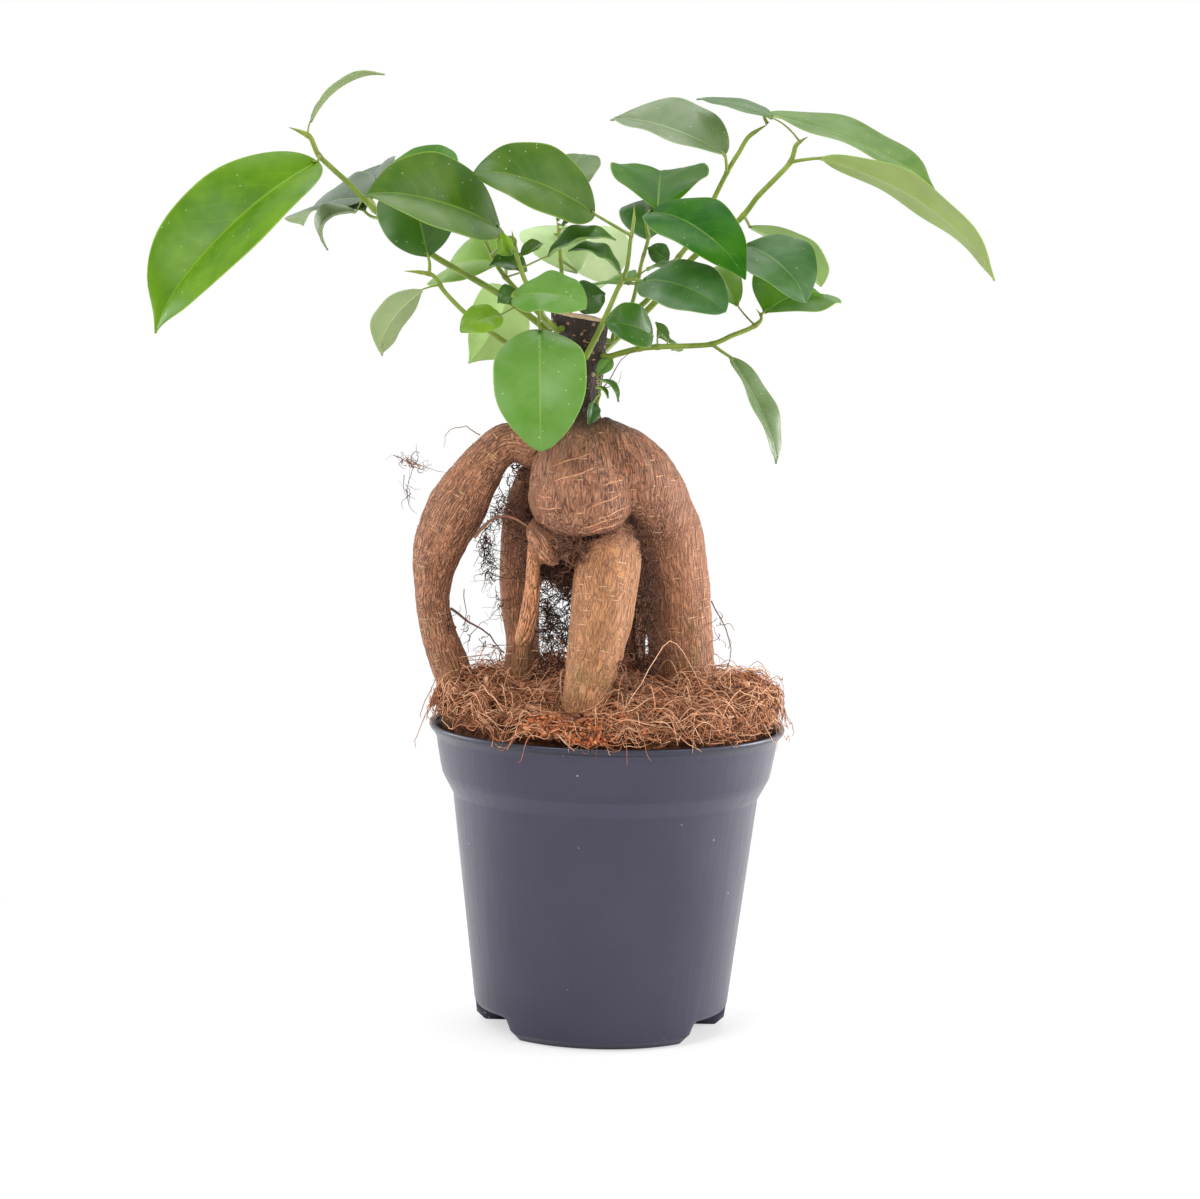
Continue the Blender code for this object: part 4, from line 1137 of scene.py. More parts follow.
class FicusBarkSettings(PropertyGroup):
    bark: colour_value("Bark", "Main bark colour", 0.350, 0.144, 0.076)
    bark_pale: colour_value("Pale bark", "Bark on the high places", 0.41, 0.188, 0.104)
    bark_red: colour_value("Red bark", "Reddish patches in the bark", 0.40, 0.132, 0.060)
    ridge: colour_value("Ridges", "Worn ridges between the cracks", 0.50, 0.240, 0.135)
    # Painted light: this colour stands in for the light falling on the right, second and left roots.
    bright: colour_value("Bright roots", "Lighter skin of the right and second roots", 0.470, 0.202, 0.101)
    leg: colour_value("Front root", "Tan skin of the front root", 0.555, 0.252, 0.105)
    # Partly painted light: the stub's reddish colour is also made lighter, standing in for the light on it.
    stub: colour_value("Stub", "Reddish skin of the broken stub and the knot", 0.789, 0.336, 0.151)
    bark_dark: colour_value("Fissures", "Bark in its fissures", 0.085, 0.032, 0.018)
    bark_green: colour_value("Green bark", "Olive tint low on the roots", 0.30, 0.215, 0.050)
    dash: colour_value("Dashes", "Pale corky dashes across the roots", 0.86, 0.50, 0.27)
    neck: colour_value("Neck", "Old wood of the neck", 0.055, 0.032, 0.024)
    cut: colour_value("Cut", "Cut wood on top of the neck", 0.60, 0.42, 0.27)
    voxel: length_value("Voxel", "Mesh size of the grown surface", 0.856, 0.5)
    fissure_depth: length_value("Fissure depth", "Depth of the bark's relief", 0.35)


def root_samples(points):
    """Centres, radii and lengths along at close steps along one root, then its three directions."""
    path = resample(spline_points(points, 12), ROOT_STEPS)
    centres = path[None, :, :3] * MM
    frames = travelling_frames(centres)
    step = np.linalg.norm(centres[0, 1] - centres[0, 0])
    return centres[0], path[:, 3] * MM, np.arange(ROOT_STEPS) * step, *(frame[0] for frame in frames)


def leaving_step(centres):
    """The first step at which a root's centre comes near the surface of the body."""
    depth = np.full(len(centres), np.inf)
    for root in BODY_ROOTS:
        body, radii = root_samples(ROOTS[root])[:2]
        reach = np.linalg.norm(centres[:, None] - body, axis=2) - radii
        depth = np.minimum(depth, np.min(reach, axis=1))
    outside = np.nonzero(depth > -LEAVING_DEPTH * MM)[0]
    return int(outside[0]) if len(outside) else 0


def body_space(points):
    """Places on the swollen body, whose bark fans out from the neck: across, across, and down."""
    x, y, z = points.T
    down = BODY_TOP * MM - z
    fan = 0.5 + 0.5 * smooth_step(down / (BODY_FAN * MM))
    return np.stack([(x - BODY_AXIS[0] * MM) / fan, (y - BODY_AXIS[1] * MM) / fan, down], axis=1)


def root_space(points, table):
    """Each point's place in one root: across, across, and along; and its gap to the root."""
    centres, radii, length, tangents, normals, binormals = root_samples(table)
    step = leaving_step(centres)
    first = body_space(centres[step : step + 1])[0]
    axis = int(abs(tangents[step, 0]) > abs(tangents[step, 1]))
    turn = math.atan2(binormals[step, axis], normals[step, axis])
    across_x = math.cos(turn) * normals + math.sin(turn) * binormals
    across_y = np.cross(tangents, across_x)
    across_y *= math.copysign(1.0, across_y[step, 1 - axis])
    if axis:
        across_x, across_y = across_y, across_x
    length = length + first[2] - length[step]
    gap, place = np.empty(len(points)), np.empty_like(points)
    for start in range(0, len(points), POINTS_AT_ONCE):
        part = slice(start, start + POINTS_AT_ONCE)
        reach = np.linalg.norm(points[part, None] - centres, axis=2) - radii
        nearest = np.argmin(reach, axis=1)
        offset = points[part] - centres[nearest]
        gap[part] = reach[np.arange(len(nearest)), nearest]
        starts = (first[0], first[1], length[nearest])
        directions = (across_x, across_y, tangents)
        place[part] = np.stack(
            [origin + np.sum(offset * way[nearest], axis=1) for origin, way in zip(starts, directions)],
            axis=1,
        )
    return place, gap


def bark_space(points):
    """Each point's place in the roots that are near it: across, across, and along, in metres."""
    body = body_space(points)
    total = np.zeros_like(points)
    weights = np.zeros(len(points))
    spaces = [root_space(points, table) for table in ROOTS.values()]
    closest = np.min([gap for _, gap in spaces], axis=0)
    for root, (place, gap) in zip(ROOTS, spaces):
        weight = np.exp((closest - gap) / (ROOT_BLEND * MM))
        total += (body if root in BODY_ROOTS else place) * weight[:, None]
        weights += weight
    return total / weights[:, None]


def grown_surface(name, voxel):
    """The tubes of all the roots, grown together into one surface."""
    union = bpy.data.meshes.new(name)
    with edited(union) as bm:
        for root, points in ROOTS.items():
            path = np.array(spline_points(points, 4))
            mesh = tubes(root, path[None, :, :3] * MM, path[None, :, 3] * MM, ROOT_SIDES)
            bm.from_mesh(mesh)
            bpy.data.meshes.remove(mesh)
        bmesh.ops.holes_fill(bm, edges=bm.edges)
        bmesh.ops.recalc_face_normals(bm, faces=bm.faces)
    obj = add_object(name, union)
    remesh = obj.modifiers.new("Union", "REMESH")
    remesh.mode = "VOXEL"
    remesh.voxel_size = voxel
    smooth = obj.modifiers.new("Smooth", "SMOOTH")
    smooth.factor = 0.5
    smooth.iterations = 4
    apply_modifiers(obj)
    return obj


def cut_neck(mesh):
    """Cuts off the neck and closes it with a face of the second material."""
    tilt_x, tilt_y = (math.radians(angle) for angle in CUT_TILT)
    tilt = Matrix.Rotation(tilt_x, 3, "X") @ Matrix.Rotation(tilt_y, 3, "Y")
    with edited(mesh) as bm:
        cut = bmesh.ops.bisect_plane(
            bm, geom=bm.verts[:] + bm.edges[:] + bm.faces[:], plane_co=metres(CUT_PLACE),
            plane_no=tilt @ Vector((0, 0, 1)), clear_outer=True,
        )
        rim = [item for item in cut["geom_cut"] if isinstance(item, bmesh.types.BMEdge)]
        cap = bmesh.ops.contextual_create(bm, geom=rim)["faces"]
        for face in bmesh.ops.triangulate(bm, faces=cap)["faces"]:
            face.material_index = 1


def carve_bark(mesh, space, creases, depth):
    """Raises the bark's ridges, hollows and wrinkles on the smooth surface and deepens its creases."""
    points, normals = points_of(mesh), normals_of(mesh)
    ridges = np.array([0.9 * (0.5 - abs(noise.noise(place))) for place in space / np.array(RIDGE_SIZE)])
    wrinkles = np.array([0.5 - abs(noise.noise(place)) for place in space / np.array(WRINKLE_SIZE)])
    places = [Vector(place) for place in points / SWELL_SIZE]
    swells = np.array([1.2 * noise.noise(place) + 0.7 * noise.noise(place * 3.1) for place in places])
    height, front = points[:, 2] / MM, points[:, 1] / MM
    fold = np.exp(-(((height - FOLD_HEIGHT) / 5.0) ** 2)) * smooth_step((-front - 8.0) / 6.0)
    total = ridges + swells + (0.35 + 1.6 * fold) * wrinkles
    total -= 0.5 + 2.4 * creases
    set_points(mesh, points + normals * total[:, None] * depth)


def hollows(mesh, rounds):
    """How far each point lies below the even surface round it, in metres."""
    points = points_of(mesh)
    ends = np.empty(len(mesh.edges) * 2, dtype=np.int32)
    mesh.edges.foreach_get("vertices", ends)
    first, second = ends.reshape(-1, 2).T
    count = len(points)
    beside = np.maximum(np.bincount(ends, minlength=count), 1)[:, None]
    even = points
    for _ in range(rounds):
        columns = [
            np.bincount(first, column[second], count) + np.bincount(second, column[first], count)
            for column in even.T
        ]
        even = np.stack(columns, axis=1) / beside
    return np.sum((even - points) * normals_of(mesh), axis=1)


def nearness(points, root, reach, below):
    """Share from 0 to 1 by which each point belongs to one root, under the given height."""
    path = resample(spline_points(ROOTS[root], 6), 40)
    share = np.zeros(len(points))
    for x, y, z, radius in path:
        away = np.linalg.norm(points / MM - (x, y, z), axis=1) - radius
        share = np.maximum(share, smooth_step((reach - away) / reach))
    return share * smooth_step((below - points[:, 2] / MM) / 6.0)


def tinted(points, roots):
    """Share from 0 to 1 by which each point has the tint of some roots."""
    return np.max([share * nearness(points, *root) for *root, share in roots], axis=0)


def bark_zones(points):
    """Shares of dark neck, green foot and painted light on the bright roots, at each point."""
    height = points[:, 2] / MM
    neck = smooth_step((height - 200.0) / 9.0)
    green = smooth_step((150.0 - height) / 30.0)
    return np.stack([neck, green, tinted(points, PAINTED_LIT_ROOTS)], axis=1)


def bark_tints_and_shade(mesh):
    """Shares of painted crease shade, tan front root and reddish stub, partly painted lighter, at each point.
    """
    points = points_of(mesh)
    # Painted shade: this share darkens the bark in hollows and creases, where shade falls; it also deepens
    # them.
    crease = smooth_step((hollows(mesh, CREASE_ROUNDS) / MM - 0.20) / 0.5)
    stub = tinted(points, RED_AND_LIT_ROOTS)
    return np.stack([crease, tinted(points, TAN_ROOTS) * (1.0 - stub), stub], axis=1)


# Long raised scars across the belly: the two ends of each as (x, z); then their rows, sides, radius
# and tone.
SCARS = (
    ((-21.2, 191.4), (-7.6, 196.3)), ((-19.1, 187.0), (-4.9, 191.9)), ((-8.0, 178.5), (2.8, 182.9)),
    ((-24.3, 177.6), (-16.4, 178.2)), ((-9.5, 171.8), (3.5, 176.0)), ((-7.5, 170.2), (4.5, 174.0)),
    ((-4.5, 174.8), (5.6, 179.0)), ((-24.6, 181.9), (-19.8, 181.4)), ((-3.0, 186.2), (2.0, 187.6)),
)
SCAR_ROWS = 24
SCAR_SIDES = 8
SCAR_RADIUS = 0.27
SCAR_TONE = 0.62


def scar_paths(trunk):
    """Centres in metres of the scars, laid on the front of the trunk."""
    tree = search_tree(trunk)
    paths = []
    for (first_x, first_z), (last_x, last_z) in SCARS:
        path = []
        for share in np.linspace(0.0, 1.0, SCAR_ROWS):
            x = first_x + (last_x - first_x) * share
            z = first_z + (last_z - first_z) * share + 0.2 * math.sin(9.0 * share + first_x)
            place, normal, _, _ = tree.ray_cast(metres((x, -70.0, z)), Vector((0.0, 1.0, 0.0)))
            path.append(place - normal * 0.05 * MM)
        paths.append(path)
    return np.array(paths)


class FICUS_OT_trunk(Operator):
    """Grows the trunk and its thick roots as one barked surface"""

    bl_idname = "ficus.trunk"
    bl_label = "Trunk and roots"

    def execute(self, context):
        settings = context.scene.ficus_bark
        trunk = grown_surface("trunk", settings.voxel)
        mesh = trunk.data
        cut_neck(mesh)
        space = bark_space(points_of(mesh))
        tints = bark_tints_and_shade(mesh)
        set_values(mesh, "bark_zones", bark_zones(points_of(mesh)))
        set_values(mesh, "bark_tints_and_shade", tints)
        carve_bark(mesh, space, tints[:, 0], settings.fissure_depth)
        set_values(mesh, "bark_space", space)
        mesh.shade_smooth()
        mesh.set_sharp_from_angle(angle=SHARP_ANGLE)
        mesh.materials.append(bark_finish(settings))
        mesh.materials.append(cut_finish(settings.cut))
        dress(trunk, "bark", "trunk_and_roots")

        paths = scar_paths(mesh)
        swell = np.sin(np.linspace(0.15, math.pi - 0.15, SCAR_ROWS)) ** 0.5
        radii = np.tile(SCAR_RADIUS * MM * swell, (len(paths), 1))
        scars = tubes("bark_scars", paths, radii, SCAR_SIDES, SCAR_TONE)
        finish = fibre_finish("bark_scar", settings.bark, settings.bark_pale, settings.dash)
        dress(add_object("bark_scars", scars, finish), "bark")
        return {"FINISHED"}


# Fine roots


class FicusRootletSettings(PropertyGroup):
    colour: colour_value("Rootlets", "Colour of the fine dark roots", 0.060, 0.028, 0.018)
    seed: IntProperty(name="Seed", description="Seed of the rootlets' paths", default=5)


# Clumps of fine roots: two ends, how many, how far they stray, thickness and tone.
CLUMPS = (
    ((-29, -2, 193), (-31, -2, 186), 60, 1.3, 0.22, 0.1),
    ((-36, -4, 180), (-42, -4, 168), 60, 0.9, 0.18, 0.05),
    ((-42, -4, 168), (-40, -3, 152), 90, 0.8, 0.18, 0.05),
    ((-40, -3, 152), (-36, -4, 138), 26, 0.6, 0.16, 0.1),
    ((-29, -8, 187), (-32, -8, 168), 170, 2.2, 0.22, 0.35),
    ((-36, -9, 174), (-27, -16, 166), 120, 2.0, 0.20, 0.45),
    ((-27, -20, 166), (-29, -14, 154), 80, 2.0, 0.20, 0.35),
    ((-19, -25, 168), (-9, -27, 162), 150, 1.8, 0.22, 0.5),
    ((-20, -18, 161), (-13, -16, 152), 170, 2.2, 0.22, 0.2),
    ((-23, -15, 158), (-13, -11, 151), 300, 2.0, 0.24, 0.1),
    ((-22, -6, 148), (-19, -6, 132), 200, 2.0, 0.18, 0.05),
    ((-20, -6, 134), (-22, -6, 116), 130, 2.6, 0.18, 0.08),
    ((-13, -6, 150), (-15, -4, 120), 150, 1.6, 0.20, 0.08),
    ((9, -20, 171), (13, -14, 150), 130, 1.5, 0.22, 0.12),
    ((11, -10, 152), (14, -8, 116), 200, 1.9, 0.22, 0.15),
    ((-2, 8, 160), (2, 10, 120), 120, 5.0, 0.24, 0.05),
    ((-54, -2, 136), (-36, -8, 128), 22, 0.7, 0.18, 0.1),
    ((-72, -6, 192), (-64, -5, 189), 26, 0.9, 0.16, 0.5),
    ((-69, -5, 186), (-68, -6, 177), 8, 0.7, 0.14, 0.1),
    ((36, -1, 140), (40, -4, 126), 8, 0.7, 0.16, 0.1),
    ((2, -38, 128), (12, -30, 116), 50, 2.2, 0.18, 0.5),
)

# Single strands: points (x, y, z) then thickness at the start and tone.
STRANDS = (
    (((-46, -9, 166), (-41, -11, 171), (-36, -15, 174), (-30, -19, 172.5), (-24, -22, 167),
        (-21, -23, 162)), 0.75, 0.55),
    (((7, -16, 172), (11, -14, 172.5), (15, -13, 170), (18, -12.5, 167)), 0.7, 0.6),
    (((-53, -2, 141), (-47, -7, 137), (-41, -9, 134), (-35, -9, 127)), 0.6, 0.25),
    (((-44, -9, 200), (-50, -11, 203), (-55, -12, 201), (-56, -12, 196)), 0.22, 0.5),
    (((-73, -7, 192), (-66, -6, 190), (-60, -6, 188), (-54, -6, 187)), 0.2, 0.6),
    (((-6, -7, 214), (-2, -10, 219), (2, -11, 226), (6, -12, 229), (8, -12, 232)), 0.3, 0.3),
    (((-4, -8, 216), (1, -13, 219), (2, -14, 223)), 0.18, 0.3),
    (((34, 0, 146), (38, -3, 138), (41, -5, 128), (36, -4, 116)), 0.32, 0.3),
    (((14, -8, 140), (18, -9, 133), (24, -10, 128), (30, -10, 124)), 0.3, 0.45),
    (((-16, -24, 161), (-8, -27, 158), (-2, -33, 161), (1, -36, 157)), 0.5, 0.55),
    (((-2, -38, 136), (6, -34, 124), (10, -30, 114)), 0.45, 0.6),
    (((-49, -8, 148), (-48, -8, 138), (-50, -8, 130)), 0.18, 0.2),
)
ROOTLET_ROWS = 10
HAIRS = 320


class FICUS_OT_rootlets(Operator):
    """Hangs the fine dark roots between and beside the thick ones"""

    bl_idname = "ficus.rootlets"
    bl_label = "Rootlets"

    def execute(self, context):
        settings = context.scene.ficus_rootlets
        rng = np.random.default_rng(settings.seed)
        finish = fibre_finish("rootlet", settings.colour, toned(settings.colour, 3.2), (0.44, 0.21, 0.10))
        paths, radii, tones = [], [], []
        for first, last, count, spread, thickness, tone in CLUMPS:
            first, last = np.array(first, dtype=float), np.array(last, dtype=float)
            share = rng.uniform(0, 1, (count, 1))
            starts = first + (last - first) * share + rng.normal(0, 0.8 * spread, (count, 3))
            heading = unit(last - first) * 0.5 + np.array((0, 0, -0.3))
            step = rng.uniform(0.48, 1.2, (count, 1))
            paths.append(curls(rng, starts, heading, ROOTLET_ROWS, step, 0.45))
            taper = np.linspace(1.0, 0.35, ROOTLET_ROWS)
            radii.append(thickness * rng.uniform(0.5, 1.3, (count, 1)) * taper)
            tones.append(np.clip(tone + rng.normal(0, 0.14, (count, 1)), 0, 1) * np.ones(ROOTLET_ROWS))
        for points, thickness, tone in STRANDS:
            path = resample(spline_points(points, 8), ROOTLET_ROWS)
            paths.append((path + rng.normal(0, 0.25, path.shape))[None])
            radii.append((thickness * np.linspace(1.0, 0.3, ROOTLET_ROWS))[None])
            tones.append(np.full((1, ROOTLET_ROWS), tone))
        self.add_hairs(rng, paths, radii, tones)
        paths, radii, tones = (np.concatenate(values) for values in (paths, radii, tones))
        mesh = tubes("rootlets", paths * MM, radii * MM, 3, tones)
        dress(add_object("rootlets", mesh, finish), "bark")
        return {"FINISHED"}

    def add_hairs(self, rng, paths, radii, tones):
        """Short dry hairs that stand off the bark."""
        mesh = bpy.data.objects["trunk"].data
        chosen = rng.choice(len(mesh.vertices), HAIRS, replace=False)
        starts = points_of(mesh)[chosen] / MM
        outward = normals_of(mesh)[chosen]
        step = rng.uniform(0.06, 0.2, (HAIRS, 1))
        paths.append(curls(rng, starts, 1.6 * outward, ROOTLET_ROWS, step, 0.3))
        radii.append(rng.uniform(0.08, 0.16, (HAIRS, 1)) * np.linspace(1.0, 0.4, ROOTLET_ROWS))
        tones.append(rng.uniform(0.2, 0.8, (HAIRS, 1)) * np.ones(ROOTLET_ROWS))


# Coir


class FicusCoirSettings(PropertyGroup):
    # The dark coir is the darkest fibres' tone and, made darker still, the painted shade in the crumbs' gaps.
    dark: colour_value("Dark coir", "Damp coir in the gaps", 0.070, 0.022, 0.010)
    middle: colour_value("Coir", "Main fibre colour", 0.475, 0.185, 0.083)
    pale: colour_value("Straw", "Dry pale fibres", 0.78, 0.47, 0.29)
    orange: colour_value("Fresh coir", "Orange crumbs heaped in front", 0.50, 0.140, 0.045)
    fibres: IntProperty(name="Fibres", description="Fine fibres on the mound", default=2600, min=0)
    seed: IntProperty(name="Seed", description="Seed of the fibres' places", default=11)


# Feet of the roots where they go into the coir: x, y, radius.
FEET = (
    (-46, 4, 6.0), (-31, 2, 4.8), (-8, -37, 7.2), (25, 8, 11.2), (4, 30, 8), (-28, 29, 6), (24, 33, 6),
    (10, 15, 2.5),
)

# Kinds of fibres: name, how many (the fine ones by a setting), rows of each, sides, shortest and
# longest, bend, rise, range of radii, tone and its spread, reach from the middle, and how much of
# the mound, from the middle out, they leave bare.
FIBRES = (
    ("fibres_fine", None, 8, 3, (6, 26), 1.1, 0.9, (0.08, 0.16), (0.22, 0.22), 57.5, 0.02),
    ("fibres_coarse", 1750, 12, 3, (12, 38), 0.34, 2.0, (0.09, 0.18), (0.50, 0.30), 56.8, 0.02),
    ("fibres_pale", 420, 14, 4, (20, 56), 0.16, 2.6, (0.11, 0.19), (0.90, 0.12), 55.5, 0.02),
    ("fibres_edge", 1100, 10, 3, (6, 20), 0.9, 1.2, (0.08, 0.16), (0.54, 0.24), 58.6, 0.72),
)

# Bits of husk and crumbs: how many, and the profile of each.
HUSK_BITS = 420
HUSK_PROFILE = (0.4, 0.9, 1.0, 0.8, 0.3)
HUSK_SIDES = 6
CRUMBS = 1700
ORANGE_CRUMBS = 1200
CRUMB_PROFILE = (0.35, 0.95, 0.9, 0.3)


def mound_height(x, y):
    """Height of the coir in millimetres at places in millimetres; past the lip it hangs down."""
    reach = np.hypot(x, y)
    level = np.interp(reach, MOUND_RADII, MOUND_HEIGHTS)
    front = np.maximum(0.0, -y / LIP_RADIUS)
    side = smooth_step((np.abs(x) - 34.0) / 24.0) * smooth_step((62.0 - reach) / 5.0)
    above = np.where(level > 0, level * (1.0 - MOUND_FRONT_DROP * front**1.5), level)
    return POT_HEIGHT + above + 3.4 * side


def lumps(x, y):
    """Height of the coir's clods in millimetres."""
    large = [4.2 * noise.noise((a / 12, b / 12, 0.3)) for a, b in zip(x, y)]
    small = [1.6 * noise.noise((a / 4.5, b / 4.5, 7.7)) for a, b in zip(x, y)]
    return np.array(large) + np.array(small)


class FICUS_OT_coir(Operator):
    """Fills the pot with a body of ground coir and heaps it above the lip"""

    bl_idname = "ficus.coir"
    bl_label = "Coir body"

    def execute(self, context):
        settings = context.scene.ficus_coir
        edge = [(radius, POT_HEIGHT + height) for radius, height in COIR_EDGE]
        mound = [(radius, 0.0) for radius in np.linspace(57.0, 0.4, MOUND_ROWS)]
        points = turned(np.array([(0.4, COIR_FLOOR), *COIR_SIDE, *edge, *mound]), COIR_STEPS)
        upper = points[:, -MOUND_ROWS:]
        x, y = upper[..., 0].ravel(), upper[..., 1].ravel()
        upper[..., 2] = (mound_height(x, y) - 1.0 + 0.7 * lumps(x, y)).reshape(COIR_STEPS, -1)
        mesh = turned_mesh("coir_body", points * MM, True)
        with edited(mesh) as bm:
            bmesh.ops.holes_fill(bm, edges=bm.edges)
            bmesh.ops.recalc_face_normals(bm, faces=bm.faces)
        body = add_object("coir_body", mesh, crumb_finish(toned(settings.middle, 0.6), settings.dark))
        dress(body, "coir_fibre", "coir_substrate")
        return {"FINISHED"}


def keep_off_feet(x, y):
    """Moves places out of the roots' feet to their sides, all in millimetres."""
    for foot_x, foot_y, radius in FEET:
        away_x, away_y = x - foot_x, y - foot_y
        distance = np.maximum(np.hypot(away_x, away_y), 1e-6)
        push = np.maximum(radius + FEET_GAP - distance, 0.0) / distance
        x, y = x + away_x * push, y + away_y * push
    return x, y


def fibre_paths(rng, count, rows, lengths, bend, rise, reach, inner=0.02):
    """Centres in millimetres of curved fibres that lie on the coir."""
    radius = reach * np.sqrt(rng.uniform(inner, 1.0, count))
    turn = rng.uniform(0, 2 * math.pi, count)
    length = rng.uniform(*lengths, count)
    heading = rng.uniform(0, 2 * math.pi, count)[:, None]
    t = np.linspace(0.0, 1.0, rows)[None]
    curve = rng.normal(0, bend, (count, 1)) * t
    sway = rng.normal(0, 0.35 * bend, (count, 1))
    curve = curve + sway * np.sin(2 * math.pi * t + rng.uniform(0, 6, (count, 1)))
    step = (length / rows)[:, None]
    x = (radius * np.cos(turn))[:, None] + np.cumsum(np.cos(heading + curve) * step, axis=1)
    y = (radius * np.sin(turn))[:, None] + np.cumsum(np.sin(heading + curve) * step, axis=1)
    limit = reach + 0.8 + rng.exponential(0.9, (count, 1))
    shrink = np.minimum(1.0, limit / np.maximum(np.hypot(x, y), 1.0))
    x, y = keep_off_feet(x * shrink, y * shrink)
    ground = mound_height(x.ravel(), y.ravel()) + lumps(x.ravel(), y.ravel())
    arch = rng.exponential(rise, (count, 1)) * np.sin(math.pi * t * rng.uniform(0.6, 1.3, (count, 1)))
    lift = rng.uniform(-0.6, 1.1, (count, 1)) + arch
    return np.stack([x, y, ground.reshape(x.shape) + lift], -1)


def strewn_tones(rng, middle, spread, count):
    """A tone for each strand, near the middle one."""
    return np.clip(rng.normal(middle, spread, (count, 1)), 0, 1)


class FICUS_OT_fibres(Operator):
    """Lays fine, coarse and pale fibres and bits of husk on the coir"""

    bl_idname = "ficus.fibres"
    bl_label = "Coir fibres"

    def execute(self, context):
        settings = context.scene.ficus_coir
        rng = np.random.default_rng(settings.seed)
        finish = fibre_finish("coir_fibre", settings.dark, settings.middle, settings.pale)
        for name, count, rows, sides, lengths, bend, rise, sizes, tone, reach, inner in FIBRES:
            count = count or settings.fibres
            paths = fibre_paths(rng, count, rows, lengths, bend, rise, reach, inner)
            taper = np.sin(np.linspace(0.25, math.pi - 0.35, rows)) ** 0.4
            radii = rng.uniform(*sizes, (count, 1)) * taper
            mesh = tubes(name, paths * MM, radii * MM, sides, strewn_tones(rng, *tone, count))
            dress(add_object(name, mesh, finish), "coir_fibre")
        self.lay_husk(rng, finish)
        self.lay_crumbs(rng, finish, "crumbs", CRUMBS, 0.0)
        orange = fibre_finish("coir_orange", settings.dark, settings.orange, (0.78, 0.34, 0.15))
        self.lay_crumbs(rng, orange, "crumbs_orange", ORANGE_CRUMBS, 1.0)
        return {"FINISHED"}

    def lay_husk(self, rng, finish):
        """Flat torn bits of husk."""
        rows = len(HUSK_PROFILE)
        paths = fibre_paths(rng, HUSK_BITS, rows, (3.0, 9.0), 0.5, 0.8, 57.0)
        radii = rng.uniform(0.5, 1.5, (HUSK_BITS, 1)) * np.array(HUSK_PROFILE)
        tones = strewn_tones(rng, 0.34, 0.24, HUSK_BITS)
        mesh = tubes("husk", paths * MM, radii * MM, HUSK_SIDES, tones)
        points = points_of(mesh).reshape(HUSK_BITS, rows, HUSK_SIDES, 3)
        flat = points.mean(axis=2, keepdims=True)
        points = flat + (points - flat) * np.array((1.0, 1.0, 0.35))
        set_points(mesh, points.reshape(-1, 3))
        dress(add_object("husk", mesh, finish), "coir_fibre")

    def lay_crumbs(self, rng, finish, name, count, heaped):
        """Crumbs of coir, strewn all over, or heaped at the front of the lip."""
        turn = rng.normal(HEAP_TURN, 0.13, count)
        reach = rng.uniform(52.5, 59.8, count)
        spread = rng.random(count) >= heaped
        turn = np.where(spread, rng.uniform(0, 2 * math.pi, count), turn)
        reach = np.where(spread, 58.6 * rng.random(count) ** 0.4, reach)
        x, y = keep_off_feet(reach * np.cos(turn), reach * np.sin(turn))
        heap = heaped * 0.7 * np.exp(-(((turn - HEAP_TURN) / 0.16) ** 2))
        z = mound_height(x, y) + lumps(x, y) + rng.uniform(-0.3, 1.6, count) + heap * rng.random(count)
        size = rng.uniform(0.2, 0.75, (count, 1))
        t = np.linspace(-1.0, 1.0, len(CRUMB_PROFILE))
        direction = rng.normal(0, 1, (count, 1, 3))
        direction /= np.linalg.norm(direction, axis=2, keepdims=True)
        paths = np.stack([x, y, z], -1)[:, None] + direction * size[:, :, None] * t[None, :, None]
        radii = size * np.array(CRUMB_PROFILE)
        tones = strewn_tones(rng, 0.38 - 0.02 * heaped, 0.16 + 0.08 * heaped, count)
        dress(add_object(name, tubes(name, paths * MM, radii * MM, 4, tones), finish), "coir_fibre")


# Shoots


class FicusShootSettings(PropertyGroup):
    shoot: colour_value("Shoot", "Green skin of the shoots", 0.130, 0.195, 0.010)
    shoot_pale: colour_value("Pale shoot", "Younger skin", 0.205, 0.275, 0.028)
    shoot_brown: colour_value("Joints", "Skin at the joints and the foot", 0.15, 0.080, 0.022)


def shoot_path(name, tree):
    """A shoot's (x, y, z, radius) points in millimetres, from its seat on the neck to its bud's tip."""
    points, first_radius, last_radius = SHOOTS[name]
    place, normal, _, _ = tree.find_nearest(metres(points[0]))
    seat = place + normal * SHOOT_GAP * MM
    root = place + normal * (SHOOT_GAP + 1.6 * first_radius) * MM
    centres = [tuple(seat / MM), tuple(root / MM), *points[1:]]
    radii = np.linspace(first_radius, last_radius, len(centres))
    radii[-1] = 0.25
    seat, *rest = [(*centre, radius) for centre, radius in zip(centres, radii)]
    return [seat] + spline_points(rest, SHOOT_SPANS)


def place_on(path, place):
    """Centre and direction of a shoot at a place counted in its table points."""
    station = 1 + place * SHOOT_SPANS
    index = min(int(station), len(path) - 2)
    first, second = Vector(path[index][:3]), Vector(path[index + 1][:3])
    return first.lerp(second, station - index), (second - first).normalized()


